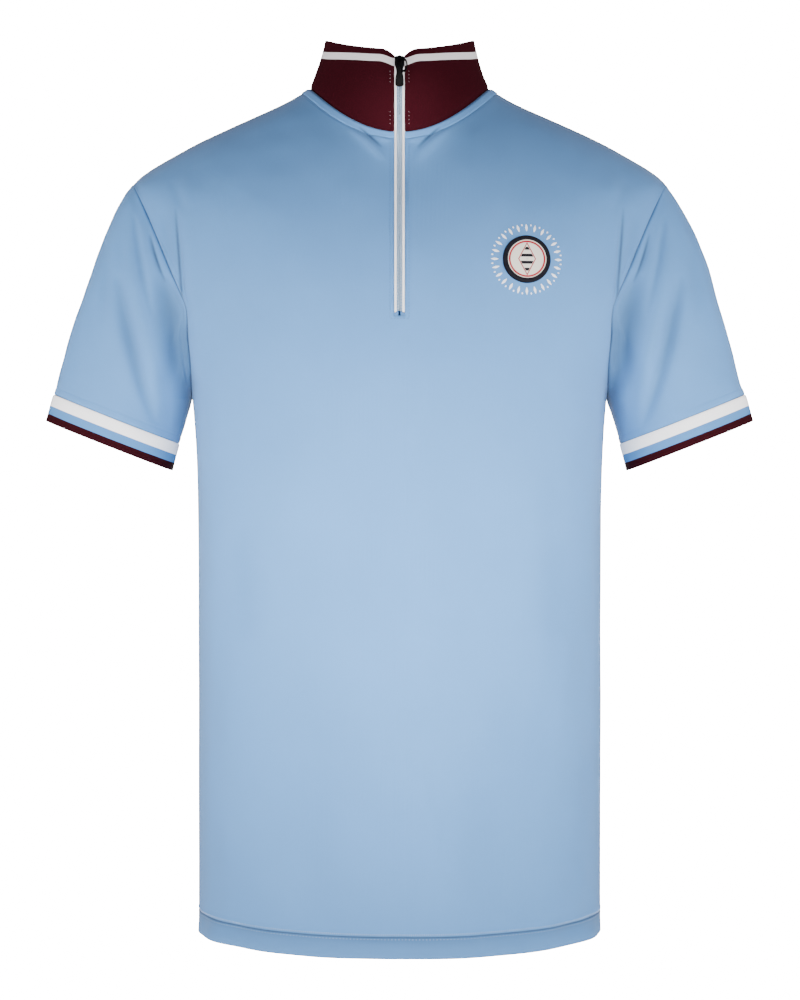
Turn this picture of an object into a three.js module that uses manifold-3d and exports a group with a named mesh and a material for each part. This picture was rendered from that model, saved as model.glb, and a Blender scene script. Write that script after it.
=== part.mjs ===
// A half-zip polo shirt with a stand collar, filled out as it is worn, in millimetres with +Z up.
// The front faces -Y. The origin lies midway between the two points where the shoulder seams
// meet the collar, which is where the wearer's shoulders hold the shirt up.
import * as THREE from "three";
import { mergeVertices } from "three/addons/utils/BufferGeometryUtils.js";
import Module from "manifold-3d";

const wasm = await Module();
wasm.setup();

// Driving dimensions

const FRONT = -1;
const BACK = 1;
const RIGHT_ANGLE = Math.PI / 2;

const WALL = 2;
const SEAM_GAP = 0.4;
const HEM = { depth: 16, thickness: 4 };

// Level lines of the body, from the neckline down to the hem. Each is a rounded loop whose half
// width, depth and height are given at the side, centre front and centre back. Between the
// shoulder and the underarm the side is imaginary, because the armhole is cut out there.
const SECTIONS = [
  { at: 0, sideX: 77, sideZ: 0, frontY: 66, frontZ: -44, backY: 60, backZ: -12, power: 1 },
  { at: 1, sideX: 98, sideZ: -13, frontY: 71, frontZ: -52, backY: 66, backZ: -24, power: 1 },
  { at: 2, sideX: 143, sideZ: -33, frontY: 79, frontZ: -66, backY: 75, backZ: -42, power: 1 },
  { at: 3, sideX: 182, sideZ: -52, frontY: 87, frontZ: -84, backY: 83, backZ: -62, power: 1 },
  { at: 4, sideX: 226, sideZ: -81, frontY: 95.5, frontZ: -108, backY: 93, backZ: -90, power: 0.985 },
  { at: 5, sideX: 222, sideZ: -112, frontY: 104, frontZ: -134, backY: 102, backZ: -120, power: 0.945 },
  { at: 6, sideX: 209, sideZ: -150, frontY: 112, frontZ: -166, backY: 110, backZ: -157, power: 0.92 },
  { at: 7, sideX: 194, sideZ: -195, frontY: 118, frontZ: -205, backY: 115, backZ: -200, power: 0.91 },
  { at: 8, sideX: 182, sideZ: -234, frontY: 122, frontZ: -238, backY: 117, backZ: -236, power: 0.905 },
  { at: 9, sideX: 176, sideZ: -262, frontY: 123, frontZ: -262, backY: 117, backZ: -262, power: 0.9 },
  { at: 10, sideX: 171, sideZ: -330, frontY: 122, frontZ: -330, backY: 112, backZ: -330, power: 0.9 },
  { at: 11, sideX: 170, sideZ: -450, frontY: 118, frontZ: -450, backY: 103, backZ: -450, power: 0.9 },
  { at: 12, sideX: 170, sideZ: -600, frontY: 122, frontZ: -600, backY: 110, backZ: -600, power: 0.9 },
  { at: 13, sideX: 170, sideZ: -720, frontY: 124, frontZ: -720, backY: 117, backZ: -720, power: 0.9 },
];
const NECK = 0;
const SHOULDER = 4;
const UNDERARM = 9;

// The armhole seam as it is seen from the front: how far out it lies at each height.
const ARMHOLE = [
  { z: -262, x: 176 },
  { z: -245, x: 174.9 },
  { z: -216, x: 176.3 },
  { z: -186, x: 179 },
  { z: -177, x: 182.7 },
  { z: -158, x: 191.3 },
  { z: -136, x: 200.4 },
  { z: -109, x: 212.3 },
  { z: -81, x: 226 },
];

// The sleeve ends in a knitted cuff, an oval whose long axis slopes up away from the body.
const CUFF = {
  centre: new THREE.Vector3(246.5, -4, -304),
  longAxis: new THREE.Vector3(0.9305, 0, 0.366),
  halfWidth: 57,
  halfDepth: 47,
  run: new THREE.Vector3(0.27, 0, -0.963).normalize(),
  depth: 20,
  wall: 2.4,
};
const SLEEVE = {
  overShoulder: new THREE.Vector3(0.62, 0, -0.78),
  underArm: new THREE.Vector3(0.27, 0, -0.963),
  fullness: 0.16,
  startPull: 0.75,
  endPull: 1.0,
};

// The stand collar leans in from the neckline to its rim, and its corners by the zip are rounded.
const COLLAR = {
  wall: 2.2,
  inset: 0.6,
  lift: 0.4,
  rimX: 63.3,
  rimFrontY: 57,
  rimBackY: 52,
  rimSideZ: 40.8,
  rimFrontZ: 25.5,
  rimBackZ: 34,
  hollow: 1.2,
  cornerDrop: 6.9,
  cornerReach: 11,
};

// The zip, across the centre front. Lift is measured outwards from the cloth's face.
const ZIP = {
  slot: 4.7,
  coilIn: 0.2,
  coilOut: 2.2,
  coilBack: -2.8,
  coilFront: -0.6,
  pipingIn: 2.5,
  pipingOut: 4.4,
  pipingBack: -1.9,
  pipingFront: 0.7,
  tapeIn: 1.1,
  tapeOut: 13,
  tapeBack: -4.1,
  tapeFront: -3.1,
  endZ: -198,
  tapeTail: 9,
};
const SLIDER = {
  axisZ: 16.6,
  axisLift: 5.2,
  top: 2.6,
  length: 9.6,
  halfWidth: 4,
  frontLift: 1,
  frontThickness: 1.6,
  backLift: -4.5,
  backThickness: 1.2,
  postHalf: 0.7,
  postLength: 2.6,
  eye: 1.5,
  loop: 2.6,
  loopHalf: 1,
};
const TAB = {
  thickness: 1.6,
  bar: 0.8,
  windowHalf: 1.5,
  windowEnd: 3.4,
  round: 1.2,
};
const TAB_OUTLINE = [
  { drop: 0.8, half: 4.1 },
  { drop: 4, half: 4.1 },
  { drop: 11, half: 2.6 },
  { drop: 18, half: 3.6 },
  { drop: 21.5, half: 3.6 },
];
const TAB_LENGTH = 23.6;

const BADGE = { x: 103.5, z: -153, radius: 19, lift: 0.5, thickness: 1.2 };

// Soft folds: troughs pushed into a panel along a line seen from the front or the back.
const BODY_FOLDS = [
  { side: FRONT, fromX: 192, fromZ: -112, toX: 176, toZ: -186, width: 12, depth: 3 },
  { side: BACK, fromX: 186, fromZ: -118, toX: 170, toZ: -200, width: 13, depth: 4 },
  { side: BACK, fromX: 118, fromZ: -560, toX: 128, toZ: -760, width: 20, depth: 7 },
  { side: BACK, fromX: 42, fromZ: -470, toX: 52, toZ: -760, width: 24, depth: 8 },
];
const SLEEVE_FOLDS = [
  { side: FRONT, fromX: 205, fromZ: -138, toX: 189, toZ: -240, width: 13, depth: 5 },
  { side: FRONT, fromX: 231, fromZ: -182, toX: 208, toZ: -292, width: 12, depth: 4 },
  { side: BACK, fromX: 207, fromZ: -146, toX: 190, toZ: -244, width: 13, depth: 5 },
  { side: BACK, fromX: 236, fromZ: -190, toX: 214, toZ: -292, width: 13, depth: 4 },
];

const FRONT_COLUMNS = 28;
const BACK_COLUMNS = 24;
const YOKE_ROWS = 6;
const ARMHOLE_ROWS = 14;
const LOWER_ROWS = 9;
const SLEEVE_ROWS = 9;
const COLLAR_COLUMNS = 46;
const COLLAR_ROWS = 5;

// General helpers

const mix = THREE.MathUtils.lerp;
const vector = (x, y, z) => new THREE.Vector3(x, y, z);
const moved = (point, direction, distance) => point.clone().addScaledVector(direction, distance);
const mirrored = (point) => vector(-point.x, point.y, point.z);

/** A smooth curve through a table's rows: all columns as a function of the one named key. */
function throughRows(rows, key) {
  const columns = Object.keys(rows[0]);
  const rate = (i, name) => (rows[i + 1][name] - rows[i][name]) / (rows[i + 1][key] - rows[i][key]);
  const slope = (i, name) => {
    if (i === 0) return rate(0, name);
    if (i === rows.length - 1) return rate(i - 1, name);
    const before = rows[i][key] - rows[i - 1][key];
    const after = rows[i + 1][key] - rows[i][key];
    return (rate(i - 1, name) * after + rate(i, name) * before) / (before + after);
  };
  return (value) => {
    let i = 0;
    while (i < rows.length - 2 && value > rows[i + 1][key]) i += 1;
    const span = rows[i + 1][key] - rows[i][key];
    const t = (value - rows[i][key]) / span;
    const result = {};
    for (const name of columns) {
      const start = rows[i][name];
      const rise = rows[i + 1][name] - start;
      const first = slope(i, name) * span;
      const last = slope(i + 1, name) * span;
      result[name] = start + t * (first + t * (3 * rise - 2 * first - last + t * (first + last - 2 * rise)));
    }
    return result;
  };
}

/** The value between low and high at which a rising function reaches zero. */
function solve(rising, low, high) {
  for (let step = 0; step < 40; step += 1) {
    const middle = (low + high) / 2;
    if (rising(middle) > 0) high = middle;
    else low = middle;
  }
  return (low + high) / 2;
}

/** How deep the folds of one side of a panel are at a point, measured in the front or back view. */
function foldDepth(folds, side, point) {
  let depth = 0;
  for (const fold of folds.filter((row) => row.side === side)) {
    const alongX = fold.toX - fold.fromX;
    const alongZ = fold.toZ - fold.fromZ;
    const length = Math.hypot(alongX, alongZ);
    const offX = Math.abs(point.x) - fold.fromX;
    const offZ = point.z - fold.fromZ;
    const along = (offX * alongX + offZ * alongZ) / length;
    const across = (offX * alongZ - offZ * alongX) / length;
    if (along <= 0 || along >= length) continue;
    const taper = Math.sin((Math.PI * along) / length);
    depth += fold.depth * taper * Math.exp(-((across / fold.width) ** 2));
  }
  return depth;
}

/** A closed geometry from points and triangles, with its faces turned outwards. */
function solidGeometry(points, triangles) {
  let volume = 0;
  for (const [a, b, c] of triangles) {
    volume += points[a].dot(vector().crossVectors(points[b], points[c]));
  }
  const index = volume < 0 ? triangles.map(([a, b, c]) => [a, c, b]) : triangles;
  const geometry = new THREE.BufferGeometry().setFromPoints(points);
  geometry.setIndex(index.flat());
  geometry.computeVertexNormals();
  return geometry;
}

/** A cloth wall from a grid of { outer, inner } points. Ring rows close on themselves. */
function wallGeometry(grid, ring) {
  const width = grid[0].length;
  const count = grid.length * width;
  const points = [...grid.flat().map((cell) => cell.outer), ...grid.flat().map((cell) => cell.inner)];
  const triangles = [];
  const quad = (a, b, c, d) => triangles.push([a, b, c], [a, c, d]);
  const at = (row, column) => row * width + (column % width);
  const lastColumn = ring ? width : width - 1;
  for (let row = 0; row + 1 < grid.length; row += 1) {
    for (let column = 0; column < lastColumn; column += 1) {
      const [a, b] = [at(row, column), at(row, column + 1)];
      const [c, d] = [at(row + 1, column + 1), at(row + 1, column)];
      quad(a, b, c, d);
      quad(count + a, count + d, count + c, count + b);
    }
  }
  for (let column = 0; column < lastColumn; column += 1) {
    const [a, b] = [at(0, column), at(0, column + 1)];
    const [c, d] = [at(grid.length - 1, column + 1), at(grid.length - 1, column)];
    quad(b, a, count + a, count + b);
    quad(d, c, count + c, count + d);
  }
  if (!ring) {
    for (let row = 0; row + 1 < grid.length; row += 1) {
      const [a, b] = [at(row, 0), at(row + 1, 0)];
      const [c, d] = [at(row + 1, width - 1), at(row, width - 1)];
      quad(a, b, count + b, count + a);
      quad(c, d, count + d, count + c);
    }
  }
  return solidGeometry(points, triangles);
}

/** A closed bar from rings of points, with flat ends. */
function barGeometry(rings) {
  const sides = rings[0].length;
  const triangles = [];
  for (let row = 0; row + 1 < rings.length; row += 1) {
    for (let side = 0; side < sides; side += 1) {
      const next = (side + 1) % sides;
      const [a, b] = [row * sides + side, row * sides + next];
      triangles.push([a, b, b + sides], [a, b + sides, a + sides]);
    }
  }
  const last = (rings.length - 1) * sides;
  for (let side = 1; side + 1 < sides; side += 1) {
    triangles.push([0, side + 1, side], [last, last + side, last + side + 1]);
  }
  return solidGeometry(rings.flat(), triangles);
}

/** The manifold solid of a closed geometry. */
function toManifold(geometry) {
  const bare = geometry.clone();
  bare.deleteAttribute("normal");
  bare.deleteAttribute("uv");
  const merged = mergeVertices(bare, 1e-3);
  const vertProperties = new Float32Array(merged.attributes.position.array);
  const triVerts = new Uint32Array(merged.index.array);
  return new wasm.Manifold(new wasm.Mesh({ numProp: 3, vertProperties, triVerts }));
}

/** The geometry of a manifold solid. */
function fromManifold(solid) {
  const mesh = solid.getMesh();
  const geometry = new THREE.BufferGeometry();
  geometry.setAttribute("position", new THREE.BufferAttribute(new Float32Array(mesh.vertProperties), 3));
  geometry.setIndex([...mesh.triVerts]);
  geometry.computeVertexNormals();
  return geometry;
}

/** A shape's plate, from z = 0 up, with points that coincide where its lines meet left out. */
function extruded(shape, depth, curveSegments) {
  const apart = (points) =>
    points.filter((point, i) => point.distanceTo(points[(i + 1) % points.length]) > 0.01);
  const outline = shape.extractPoints(curveSegments);
  const clean = new THREE.Shape(apart(outline.shape));
  clean.holes = outline.holes.map((hole) => new THREE.Path(apart(hole)));
  return new THREE.ExtrudeGeometry(clean, { depth, bevelEnabled: false });
}

/** A flat plate of a shape drawn in X and Z, from the depth y inwards by its thickness. */
function plateGeometry(shape, y, thickness, curveSegments) {
  const plate = extruded(shape, thickness, curveSegments);
  return plate.rotateX(RIGHT_ANGLE).translate(0, y + thickness, 0);
}

// Body

const sectionAt = throughRows(SECTIONS, "at");
const armholeAt = throughRows(ARMHOLE, "z");

/** A point of the smooth body: angle 0 is the centre front or back, a right angle the side. */
function bodyForm(side, angle, v) {
  const row = sectionAt(v);
  const [depth, endZ] = side === FRONT ? [row.frontY, row.frontZ] : [row.backY, row.backZ];
  const sine = Math.sin(angle);
  const cosine = Math.cos(angle);
  const x = row.sideX * Math.sign(sine) * Math.abs(sine) ** row.power;
  const y = side * depth * Math.abs(cosine) ** row.power;
  return vector(x, y, row.sideZ + (endZ - row.sideZ) * cosine ** 2);
}

/** The outward normal of the smooth body, taken from inside the panel at its edges. */
function bodyNormal(side, angle, v) {
  const turn = angle < 0 ? 0.01 : -0.01;
  const step = v > NECK + 0.02 ? -0.02 : 0.02;
  const here = bodyForm(side, angle, v);
  const around = bodyForm(side, angle + turn, v).sub(here);
  const down = bodyForm(side, angle, v + step).sub(here);
  const normal = around.cross(down).normalize();
  const outwards = vector(here.x, here.y, 40);
  return normal.dot(outwards) < 0 ? normal.negate() : normal;
}

/** A point of the body's cloth with its folds, moved out by lift. */
function bodyPoint(side, angle, v, lift = 0) {
  const point = bodyForm(side, angle, v);
  const normal = bodyNormal(side, angle, v);
  return moved(point, normal, lift - foldDepth(BODY_FOLDS, side, point));
}

/** The angle at which a level line reaches the distance x from the middle. */
function angleAtX(v, x) {
  const row = sectionAt(v);
  return Math.asin((x / row.sideX) ** (1 / row.power));
}

/** The angle of a panel's edge: at the side seams, or where the level line meets the armhole. */
function edgeAngle(side, v) {
  const row = sectionAt(v);
  const depth = side === FRONT ? row.frontY : row.backY;
  const seamAngle = Math.acos((SEAM_GAP / 2 / depth) ** (1 / row.power));
  if (v <= SHOULDER || v >= UNDERARM) return seamAngle;
  const past = (angle) => {
    const point = bodyForm(side, angle, v);
    return point.x - armholeAt(point.z).x;
  };
  return Math.min(seamAngle, solve(past, RIGHT_ANGLE / 3, RIGHT_ANGLE));
}

/** The level line whose side lies at the height z, below the underarm. */
const levelAt = (z) => solve((v) => z - sectionAt(v).sideZ, UNDERARM, SECTIONS.length - 1);

function steps(from, to, count) {
  return Array.from({ length: count }, (_, i) => mix(from, to, (i + 1) / count));
}

/** Level lines from the shoulder to the underarm that cut the front armhole into equal steps. */
function armholeRows() {
  const levels = [SHOULDER, ...steps(SHOULDER, UNDERARM, 200)];
  const seam = levels.map((v) => bodyForm(FRONT, edgeAngle(FRONT, v), v));
  const run = [0];
  for (let i = 1; i < seam.length; i += 1) run.push(run[i - 1] + seam[i].distanceTo(seam[i - 1]));
  return steps(0, run.at(-1), ARMHOLE_ROWS).map((length) => {
    const i = Math.min(run.findIndex((reached) => reached >= length - 1e-9), levels.length - 1);
    return mix(levels[i - 1], levels[i], (length - run[i - 1]) / (run[i] - run[i - 1]));
  });
}

const hemTop = SECTIONS.at(-1).sideZ + HEM.depth;
const bodyRows = [
  NECK,
  ...steps(NECK, SHOULDER, YOKE_ROWS),
  ...armholeRows(),
  ...steps(sectionAt(UNDERARM).sideZ, hemTop + 1, LOWER_ROWS).map(levelAt),
  levelAt(hemTop - 1),
  SECTIONS.length - 1,
];

// Armhole: the ring of seam points, from the shoulder down the front and up the back

/** The ring of the +X armhole, each point with the way in which the sleeve leaves it. */
function armholeRing() {
  const rows = bodyRows.slice(YOKE_ROWS, YOKE_ROWS + ARMHOLE_ROWS + 1);
  const edge = (side) =>
    rows.map((v) => {
      const angle = edgeAngle(side, v);
      return { point: bodyPoint(side, angle, v), normal: bodyNormal(side, angle, v) };
    });
  const [front, back] = [edge(FRONT), edge(BACK)];
  const ends = new Set([0, ARMHOLE_ROWS]);
  for (const i of ends) front[i].point.y = 0;
  const ring = [...front, ...back.slice(1, -1).reverse()];
  const lengths = [0];
  for (let i = 1; i <= ARMHOLE_ROWS; i += 1) {
    lengths.push(lengths[i - 1] + ring[i].point.distanceTo(ring[i - 1].point));
  }
  return ring.map((cell, i) => {
    const before = ring[(i + ring.length - 1) % ring.length].point;
    const after = ring[(i + 1) % ring.length].point;
    const tangent = after.clone().sub(before).normalize();
    const down = Math.min(i, ring.length - i);
    const turn = (Math.PI * lengths[down]) / lengths[ARMHOLE_ROWS];
    const forward = i <= ARMHOLE_ROWS ? FRONT : BACK;
    const start = SLEEVE.overShoulder.clone().lerp(SLEEVE.underArm, (1 - Math.cos(turn)) / 2);
    start.y += forward * SLEEVE.fullness * Math.sin(turn);
    start.normalize();
    const sleeveNormal = tangent.clone().cross(start).normalize();
    const inSurface = cell.normal.clone().cross(tangent).normalize();
    const mitre = cell.normal.clone().add(sleeveNormal).normalize();
    const across = mitre.clone().cross(tangent).normalize();
    if (across.dot(inSurface.add(start)) < 0) across.negate();
    const stretch = 1 / Math.max(0.6, mitre.dot(sleeveNormal));
    return { ...cell, turn, forward, start, mitre, across, stretch };
  });
}

const armhole = armholeRing();

/** One armhole edge point of a front or back panel. */
function armholeCell(side, step, thickness) {
  const index = side === FRONT ? step : (armhole.length - step) % armhole.length;
  const { point, mitre, across, stretch } = armhole[index];
  const outer = moved(point, across, -SEAM_GAP / 2);
  if (step === 0 || step === ARMHOLE_ROWS) outer.y = (side * SEAM_GAP) / 2;
  return { outer, inner: moved(outer, mitre, -thickness * stretch) };
}

function bodyPanel(side, columns) {
  const grid = bodyRows.map((v, row) => {
    const edge = edgeAngle(side, v);
    const thickness = row >= bodyRows.length - 2 ? HEM.thickness : WALL;
    const step = row - YOKE_ROWS;
    return Array.from({ length: columns + 1 }, (_, column) => {
      const angle = edge * mix(-1, 1, column / columns);
      const atEdge = column === 0 || column === columns;
      if (atEdge && step >= 0 && step <= ARMHOLE_ROWS) {
        const cell = armholeCell(side, step, thickness);
        if (column === columns) return cell;
        return { outer: mirrored(cell.outer), inner: mirrored(cell.inner) };
      }
      return { outer: bodyPoint(side, angle, v), inner: bodyPoint(side, angle, v, -thickness) };
    });
  });
  return wallGeometry(grid, false);
}

/** The front panel, slit down the middle for the zip. */
function frontPanel() {
  const height = 300;
  const slot = new THREE.BoxGeometry(2 * ZIP.slot, 120, height);
  slot.translate(0, -100, ZIP.endZ - 0.5 + height / 2);
  return fromManifold(toManifold(bodyPanel(FRONT, FRONT_COLUMNS)).subtract(toManifold(slot)));
}

// Sleeves and cuffs

/** A point of the cuff's oval at the sleeve's angle, from the top round the front. */
function cuffPoint(cell, back) {
  const { centre, longAxis, halfWidth, halfDepth, run } = CUFF;
  const point = moved(centre, longAxis, halfWidth * Math.cos(cell.turn));
  point.y += cell.forward * halfDepth * Math.sin(cell.turn);
  return moved(point, run, -back);
}

function cuffNormal(cell) {
  const { longAxis, halfWidth, halfDepth } = CUFF;
  const normal = longAxis.clone().multiplyScalar(Math.cos(cell.turn) / halfWidth);
  normal.y += (cell.forward * Math.sin(cell.turn)) / halfDepth;
  return normal.normalize();
}

/** A point of the smooth sleeve between its armhole point and the top of the cuff. */
function sleeveForm(cell, t) {
  const from = moved(cell.point, cell.across, SEAM_GAP / 2);
  const to = cuffPoint(cell, CUFF.depth + SEAM_GAP);
  const length = from.distanceTo(to);
  const [a, b] = [t * t * t, t * t];
  const point = from.multiplyScalar(2 * a - 3 * b + 1);
  point.addScaledVector(cell.start, length * SLEEVE.startPull * (a - 2 * b + t));
  point.addScaledVector(to, 3 * b - 2 * a);
  return point.addScaledVector(CUFF.run, length * SLEEVE.endPull * (a - b));
}

function sleeve() {
  const rows = Array.from({ length: SLEEVE_ROWS + 1 }, (_, i) => i / SLEEVE_ROWS);
  const form = rows.map((t) => armhole.map((cell) => sleeveForm(cell, t)));
  const grid = form.map((ring, row) =>
    ring.map((point, column) => {
      const cell = armhole[column];
      if (row === 0) return { outer: point, inner: moved(point, cell.mitre, -WALL * cell.stretch) };
      const around = ring[(column + 1) % ring.length].clone().sub(ring[(column + ring.length - 1) % ring.length]);
      const down = form[Math.min(row + 1, SLEEVE_ROWS)][column].clone().sub(form[row - 1][column]);
      const normal = row === SLEEVE_ROWS ? cuffNormal(cell) : around.cross(down).normalize();
      const fold = foldDepth(SLEEVE_FOLDS, cell.forward, point) * Math.sin(cell.turn);
      const outer = moved(point, normal, -fold);
      return { outer, inner: moved(outer, normal, -WALL) };
    }),
  );
  return wallGeometry(grid, true);
}

function cuff() {
  const grid = [CUFF.depth, CUFF.depth / 2, 0].map((back) =>
    armhole.map((cell) => {
      const outer = cuffPoint(cell, back);
      return { outer, inner: moved(outer, cuffNormal(cell), -CUFF.wall) };
    }),
  );
  return wallGeometry(grid, true);
}

// Collar

/** A point of the collar's face: turn 0 is the centre front, and height runs from 0 to 1. */
function collarForm(turn, height) {
  const side = Math.cos(turn) > 0 ? FRONT : BACK;
  const neck = SECTIONS[NECK];
  const front = side === FRONT;
  const along = Math.abs(Math.cos(turn));
  const baseY = (front ? neck.frontY : neck.backY) - COLLAR.inset;
  const hollow = COLLAR.hollow * 4 * height * (1 - height);
  const halfX = mix(neck.sideX - COLLAR.inset, COLLAR.rimX, height) - hollow;
  const halfY = mix(baseY, front ? COLLAR.rimFrontY : COLLAR.rimBackY, height) - hollow;
  const x = halfX * Math.sin(turn);
  const baseZ = mix(neck.sideZ, front ? neck.frontZ : neck.backZ, along ** 2) + COLLAR.lift;
  const rimEnd = front ? COLLAR.rimFrontZ : COLLAR.rimBackZ;
  const past = Math.max(0, Math.abs(x) - ZIP.slot) / COLLAR.cornerReach;
  const drop = front && past < 1 ? COLLAR.cornerDrop * (1 - past) ** 2 : 0;
  const rimZ = mix(COLLAR.rimSideZ, rimEnd, along ** 1.5) - drop;
  return vector(x, side * halfY * along, mix(baseZ, rimZ, height));
}

function collarNormal(turn, height) {
  const low = Math.max(0, height - 0.1);
  const high = Math.min(1, height + 0.1);
  const around = collarForm(turn + 0.01, height).sub(collarForm(turn - 0.01, height));
  const up = collarForm(turn, high).sub(collarForm(turn, low));
  return around.cross(up).normalize();
}

const collarPoint = (turn, height, lift = 0) =>
  moved(collarForm(turn, height), collarNormal(turn, height), lift);

function collarTurnAtX(x, height) {
  const neck = SECTIONS[NECK];
  const hollow = COLLAR.hollow * 4 * height * (1 - height);
  return Math.asin(x / (mix(neck.sideX - COLLAR.inset, COLLAR.rimX, height) - hollow));
}

function collar() {
  const grid = Array.from({ length: COLLAR_ROWS + 1 }, (_, row) => {
    const height = row / COLLAR_ROWS;
    const start = collarTurnAtX(ZIP.slot, height);
    return Array.from({ length: COLLAR_COLUMNS + 1 }, (_, column) => {
      const turn = mix(start, 2 * Math.PI - start, column / COLLAR_COLUMNS);
      return { outer: collarPoint(turn, height), inner: collarPoint(turn, height, -COLLAR.wall) };
    });
  });
  return wallGeometry(grid, false);
}

// Zip

/** Stations down the centre front: heights on the collar, then level lines on the body. */
function zipStations(topHeight, endZ) {
  const end = solve((v) => endZ - sectionAt(v).frontZ, NECK, UNDERARM);
  const collarHeights = [topHeight, ...steps(topHeight, 0.04, 5)];
  const bodyLevels = [...steps(NECK, 2, 4), ...steps(2, end, 7)];
  return [
    ...collarHeights.map((height) => ({ height })),
    { height: 0, corner: true },
    ...bodyLevels.map((v) => ({ v })),
  ];
}

/** A point beside the zip: x from the middle, lift out from the cloth's face. */
function zipPoint(station, x, lift) {
  if (station.v !== undefined) return bodyPoint(FRONT, angleAtX(station.v, x), station.v, lift);
  if (!station.corner) return collarPoint(collarTurnAtX(x, station.height), station.height, lift);
  const angle = angleAtX(NECK, x);
  const normal = bodyNormal(FRONT, angle, NECK).add(collarNormal(collarTurnAtX(x, 0), 0)).normalize();
  return moved(bodyForm(FRONT, angle, NECK), normal, lift);
}

/** A bar down the zip from a section whose corners are given as [x, lift]. */
function zipBar(stations, section) {
  return barGeometry(stations.map((station) => section.map(([x, lift]) => zipPoint(station, x, lift))));
}

/** A six-sided section between two distances from the middle and two lifts. */
function roundedSection(x0, x1, back, front) {
  const shoulder = 0.28;
  const [low, high] = [mix(back, front, shoulder), mix(back, front, 1 - shoulder)];
  const middle = (x0 + x1) / 2;
  return [[x0, low], [x0, high], [middle, front], [x1, high], [x1, low], [middle, back]];
}

function zipTape() {
  const section = [
    [ZIP.tapeIn, ZIP.tapeBack],
    [ZIP.tapeIn, ZIP.tapeFront],
    [ZIP.tapeOut, ZIP.tapeFront],
    [ZIP.tapeOut, ZIP.tapeBack],
  ];
  return zipBar(zipStations(0.93, ZIP.endZ - ZIP.tapeTail), section);
}

const zipCoil = () =>
  zipBar(zipStations(0.9, ZIP.endZ), roundedSection(ZIP.coilIn, ZIP.coilOut, ZIP.coilBack, ZIP.coilFront));

const zipPiping = () =>
  zipBar(zipStations(0.99, ZIP.endZ), roundedSection(ZIP.pipingIn, ZIP.pipingOut, ZIP.pipingBack, ZIP.pipingFront));

// Slider and pull tab

const sliderHeight = solve((height) => collarForm(0, height).z - SLIDER.axisZ, 0, 1);
const sliderPlace = collarForm(0, sliderHeight);
const sliderNormal = collarNormal(0, sliderHeight);
const hingePlace = moved(sliderPlace, sliderNormal, SLIDER.axisLift);

function roundedPlate(halfWidth, top, bottom, radius) {
  const shape = new THREE.Shape();
  shape.moveTo(-halfWidth + radius, bottom);
  shape.absarc(halfWidth - radius, bottom + radius, radius, -RIGHT_ANGLE, 0, false);
  shape.absarc(halfWidth - radius, top - radius, radius, 0, RIGHT_ANGLE, false);
  shape.absarc(-halfWidth + radius, top - radius, radius, RIGHT_ANGLE, Math.PI, false);
  shape.absarc(-halfWidth + radius, bottom + radius, radius, Math.PI, 3 * RIGHT_ANGLE, false);
  return shape;
}

/** The slider in its own frame: Z up the zip, -Y outwards, the origin on the cloth's face. */
function slider() {
  const { top, length, halfWidth, frontLift, frontThickness, backLift, backThickness } = SLIDER;
  const plate = roundedPlate(halfWidth, top, top - length, 1.8);
  const frontPlate = plateGeometry(plate, -frontLift - frontThickness, frontThickness, 4);
  const backPlate = plateGeometry(plate, -backLift, backThickness, 4);
  const postDepth = frontLift - backLift;
  const post = new THREE.BoxGeometry(2 * SLIDER.postHalf, postDepth, SLIDER.postLength);
  post.translate(0, -(frontLift + backLift) / 2, top - SLIDER.postLength / 2);
  const loopShape = new THREE.Shape();
  const foot = frontLift + frontThickness - 0.4;
  loopShape.moveTo(foot, -SLIDER.loop);
  loopShape.absarc(SLIDER.axisLift, 0, SLIDER.loop, -RIGHT_ANGLE, RIGHT_ANGLE, false);
  loopShape.lineTo(foot, SLIDER.loop);
  const loop = extruded(loopShape, 2 * SLIDER.loopHalf, 8).translate(0, 0, -SLIDER.loopHalf);
  loop.applyMatrix4(new THREE.Matrix4().makeBasis(vector(0, -1, 0), vector(0, 0, 1), vector(-1, 0, 0)));
  const eye = new THREE.CylinderGeometry(SLIDER.eye, SLIDER.eye, 4 * SLIDER.loopHalf, 16);
  eye.rotateZ(RIGHT_ANGLE).translate(0, -SLIDER.axisLift, 0);
  const [front, back, bridge, ring] = [frontPlate, backPlate, post, loop].map(toManifold);
  return fromManifold(front.add(back).add(bridge).add(ring).subtract(toManifold(eye)));
}

/** The pull tab about its hinge: a waisted plate whose window passes round the slider's loop. */
function pullTab() {
  const outline = throughRows(TAB_OUTLINE, "drop");
  const first = TAB_OUTLINE[0].drop;
  const last = TAB_OUTLINE.at(-1);
  const shape = new THREE.Shape();
  const topHalf = TAB_OUTLINE[0].half;
  shape.moveTo(topHalf, -first);
  for (const drop of steps(first, last.drop, 12)) shape.lineTo(outline(drop).half, -drop);
  shape.quadraticCurveTo(last.half, -TAB_LENGTH, 0, -TAB_LENGTH);
  shape.quadraticCurveTo(-last.half, -TAB_LENGTH, -last.half, -last.drop);
  for (const drop of steps(last.drop, first, 12)) shape.lineTo(-outline(drop).half, -drop);
  shape.quadraticCurveTo(-topHalf, TAB.bar, -topHalf + TAB.round, TAB.bar);
  shape.lineTo(topHalf - TAB.round, TAB.bar);
  shape.quadraticCurveTo(topHalf, TAB.bar, topHalf, -first);
  const opening = new THREE.Path();
  opening.moveTo(-TAB.windowHalf, -TAB.bar);
  opening.lineTo(-TAB.windowHalf, -TAB.windowEnd);
  opening.lineTo(TAB.windowHalf, -TAB.windowEnd);
  opening.lineTo(TAB.windowHalf, -TAB.bar);
  opening.closePath();
  shape.holes.push(opening);
  return plateGeometry(shape, -TAB.thickness / 2, TAB.thickness, 5);
}

// Chest badge

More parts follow.
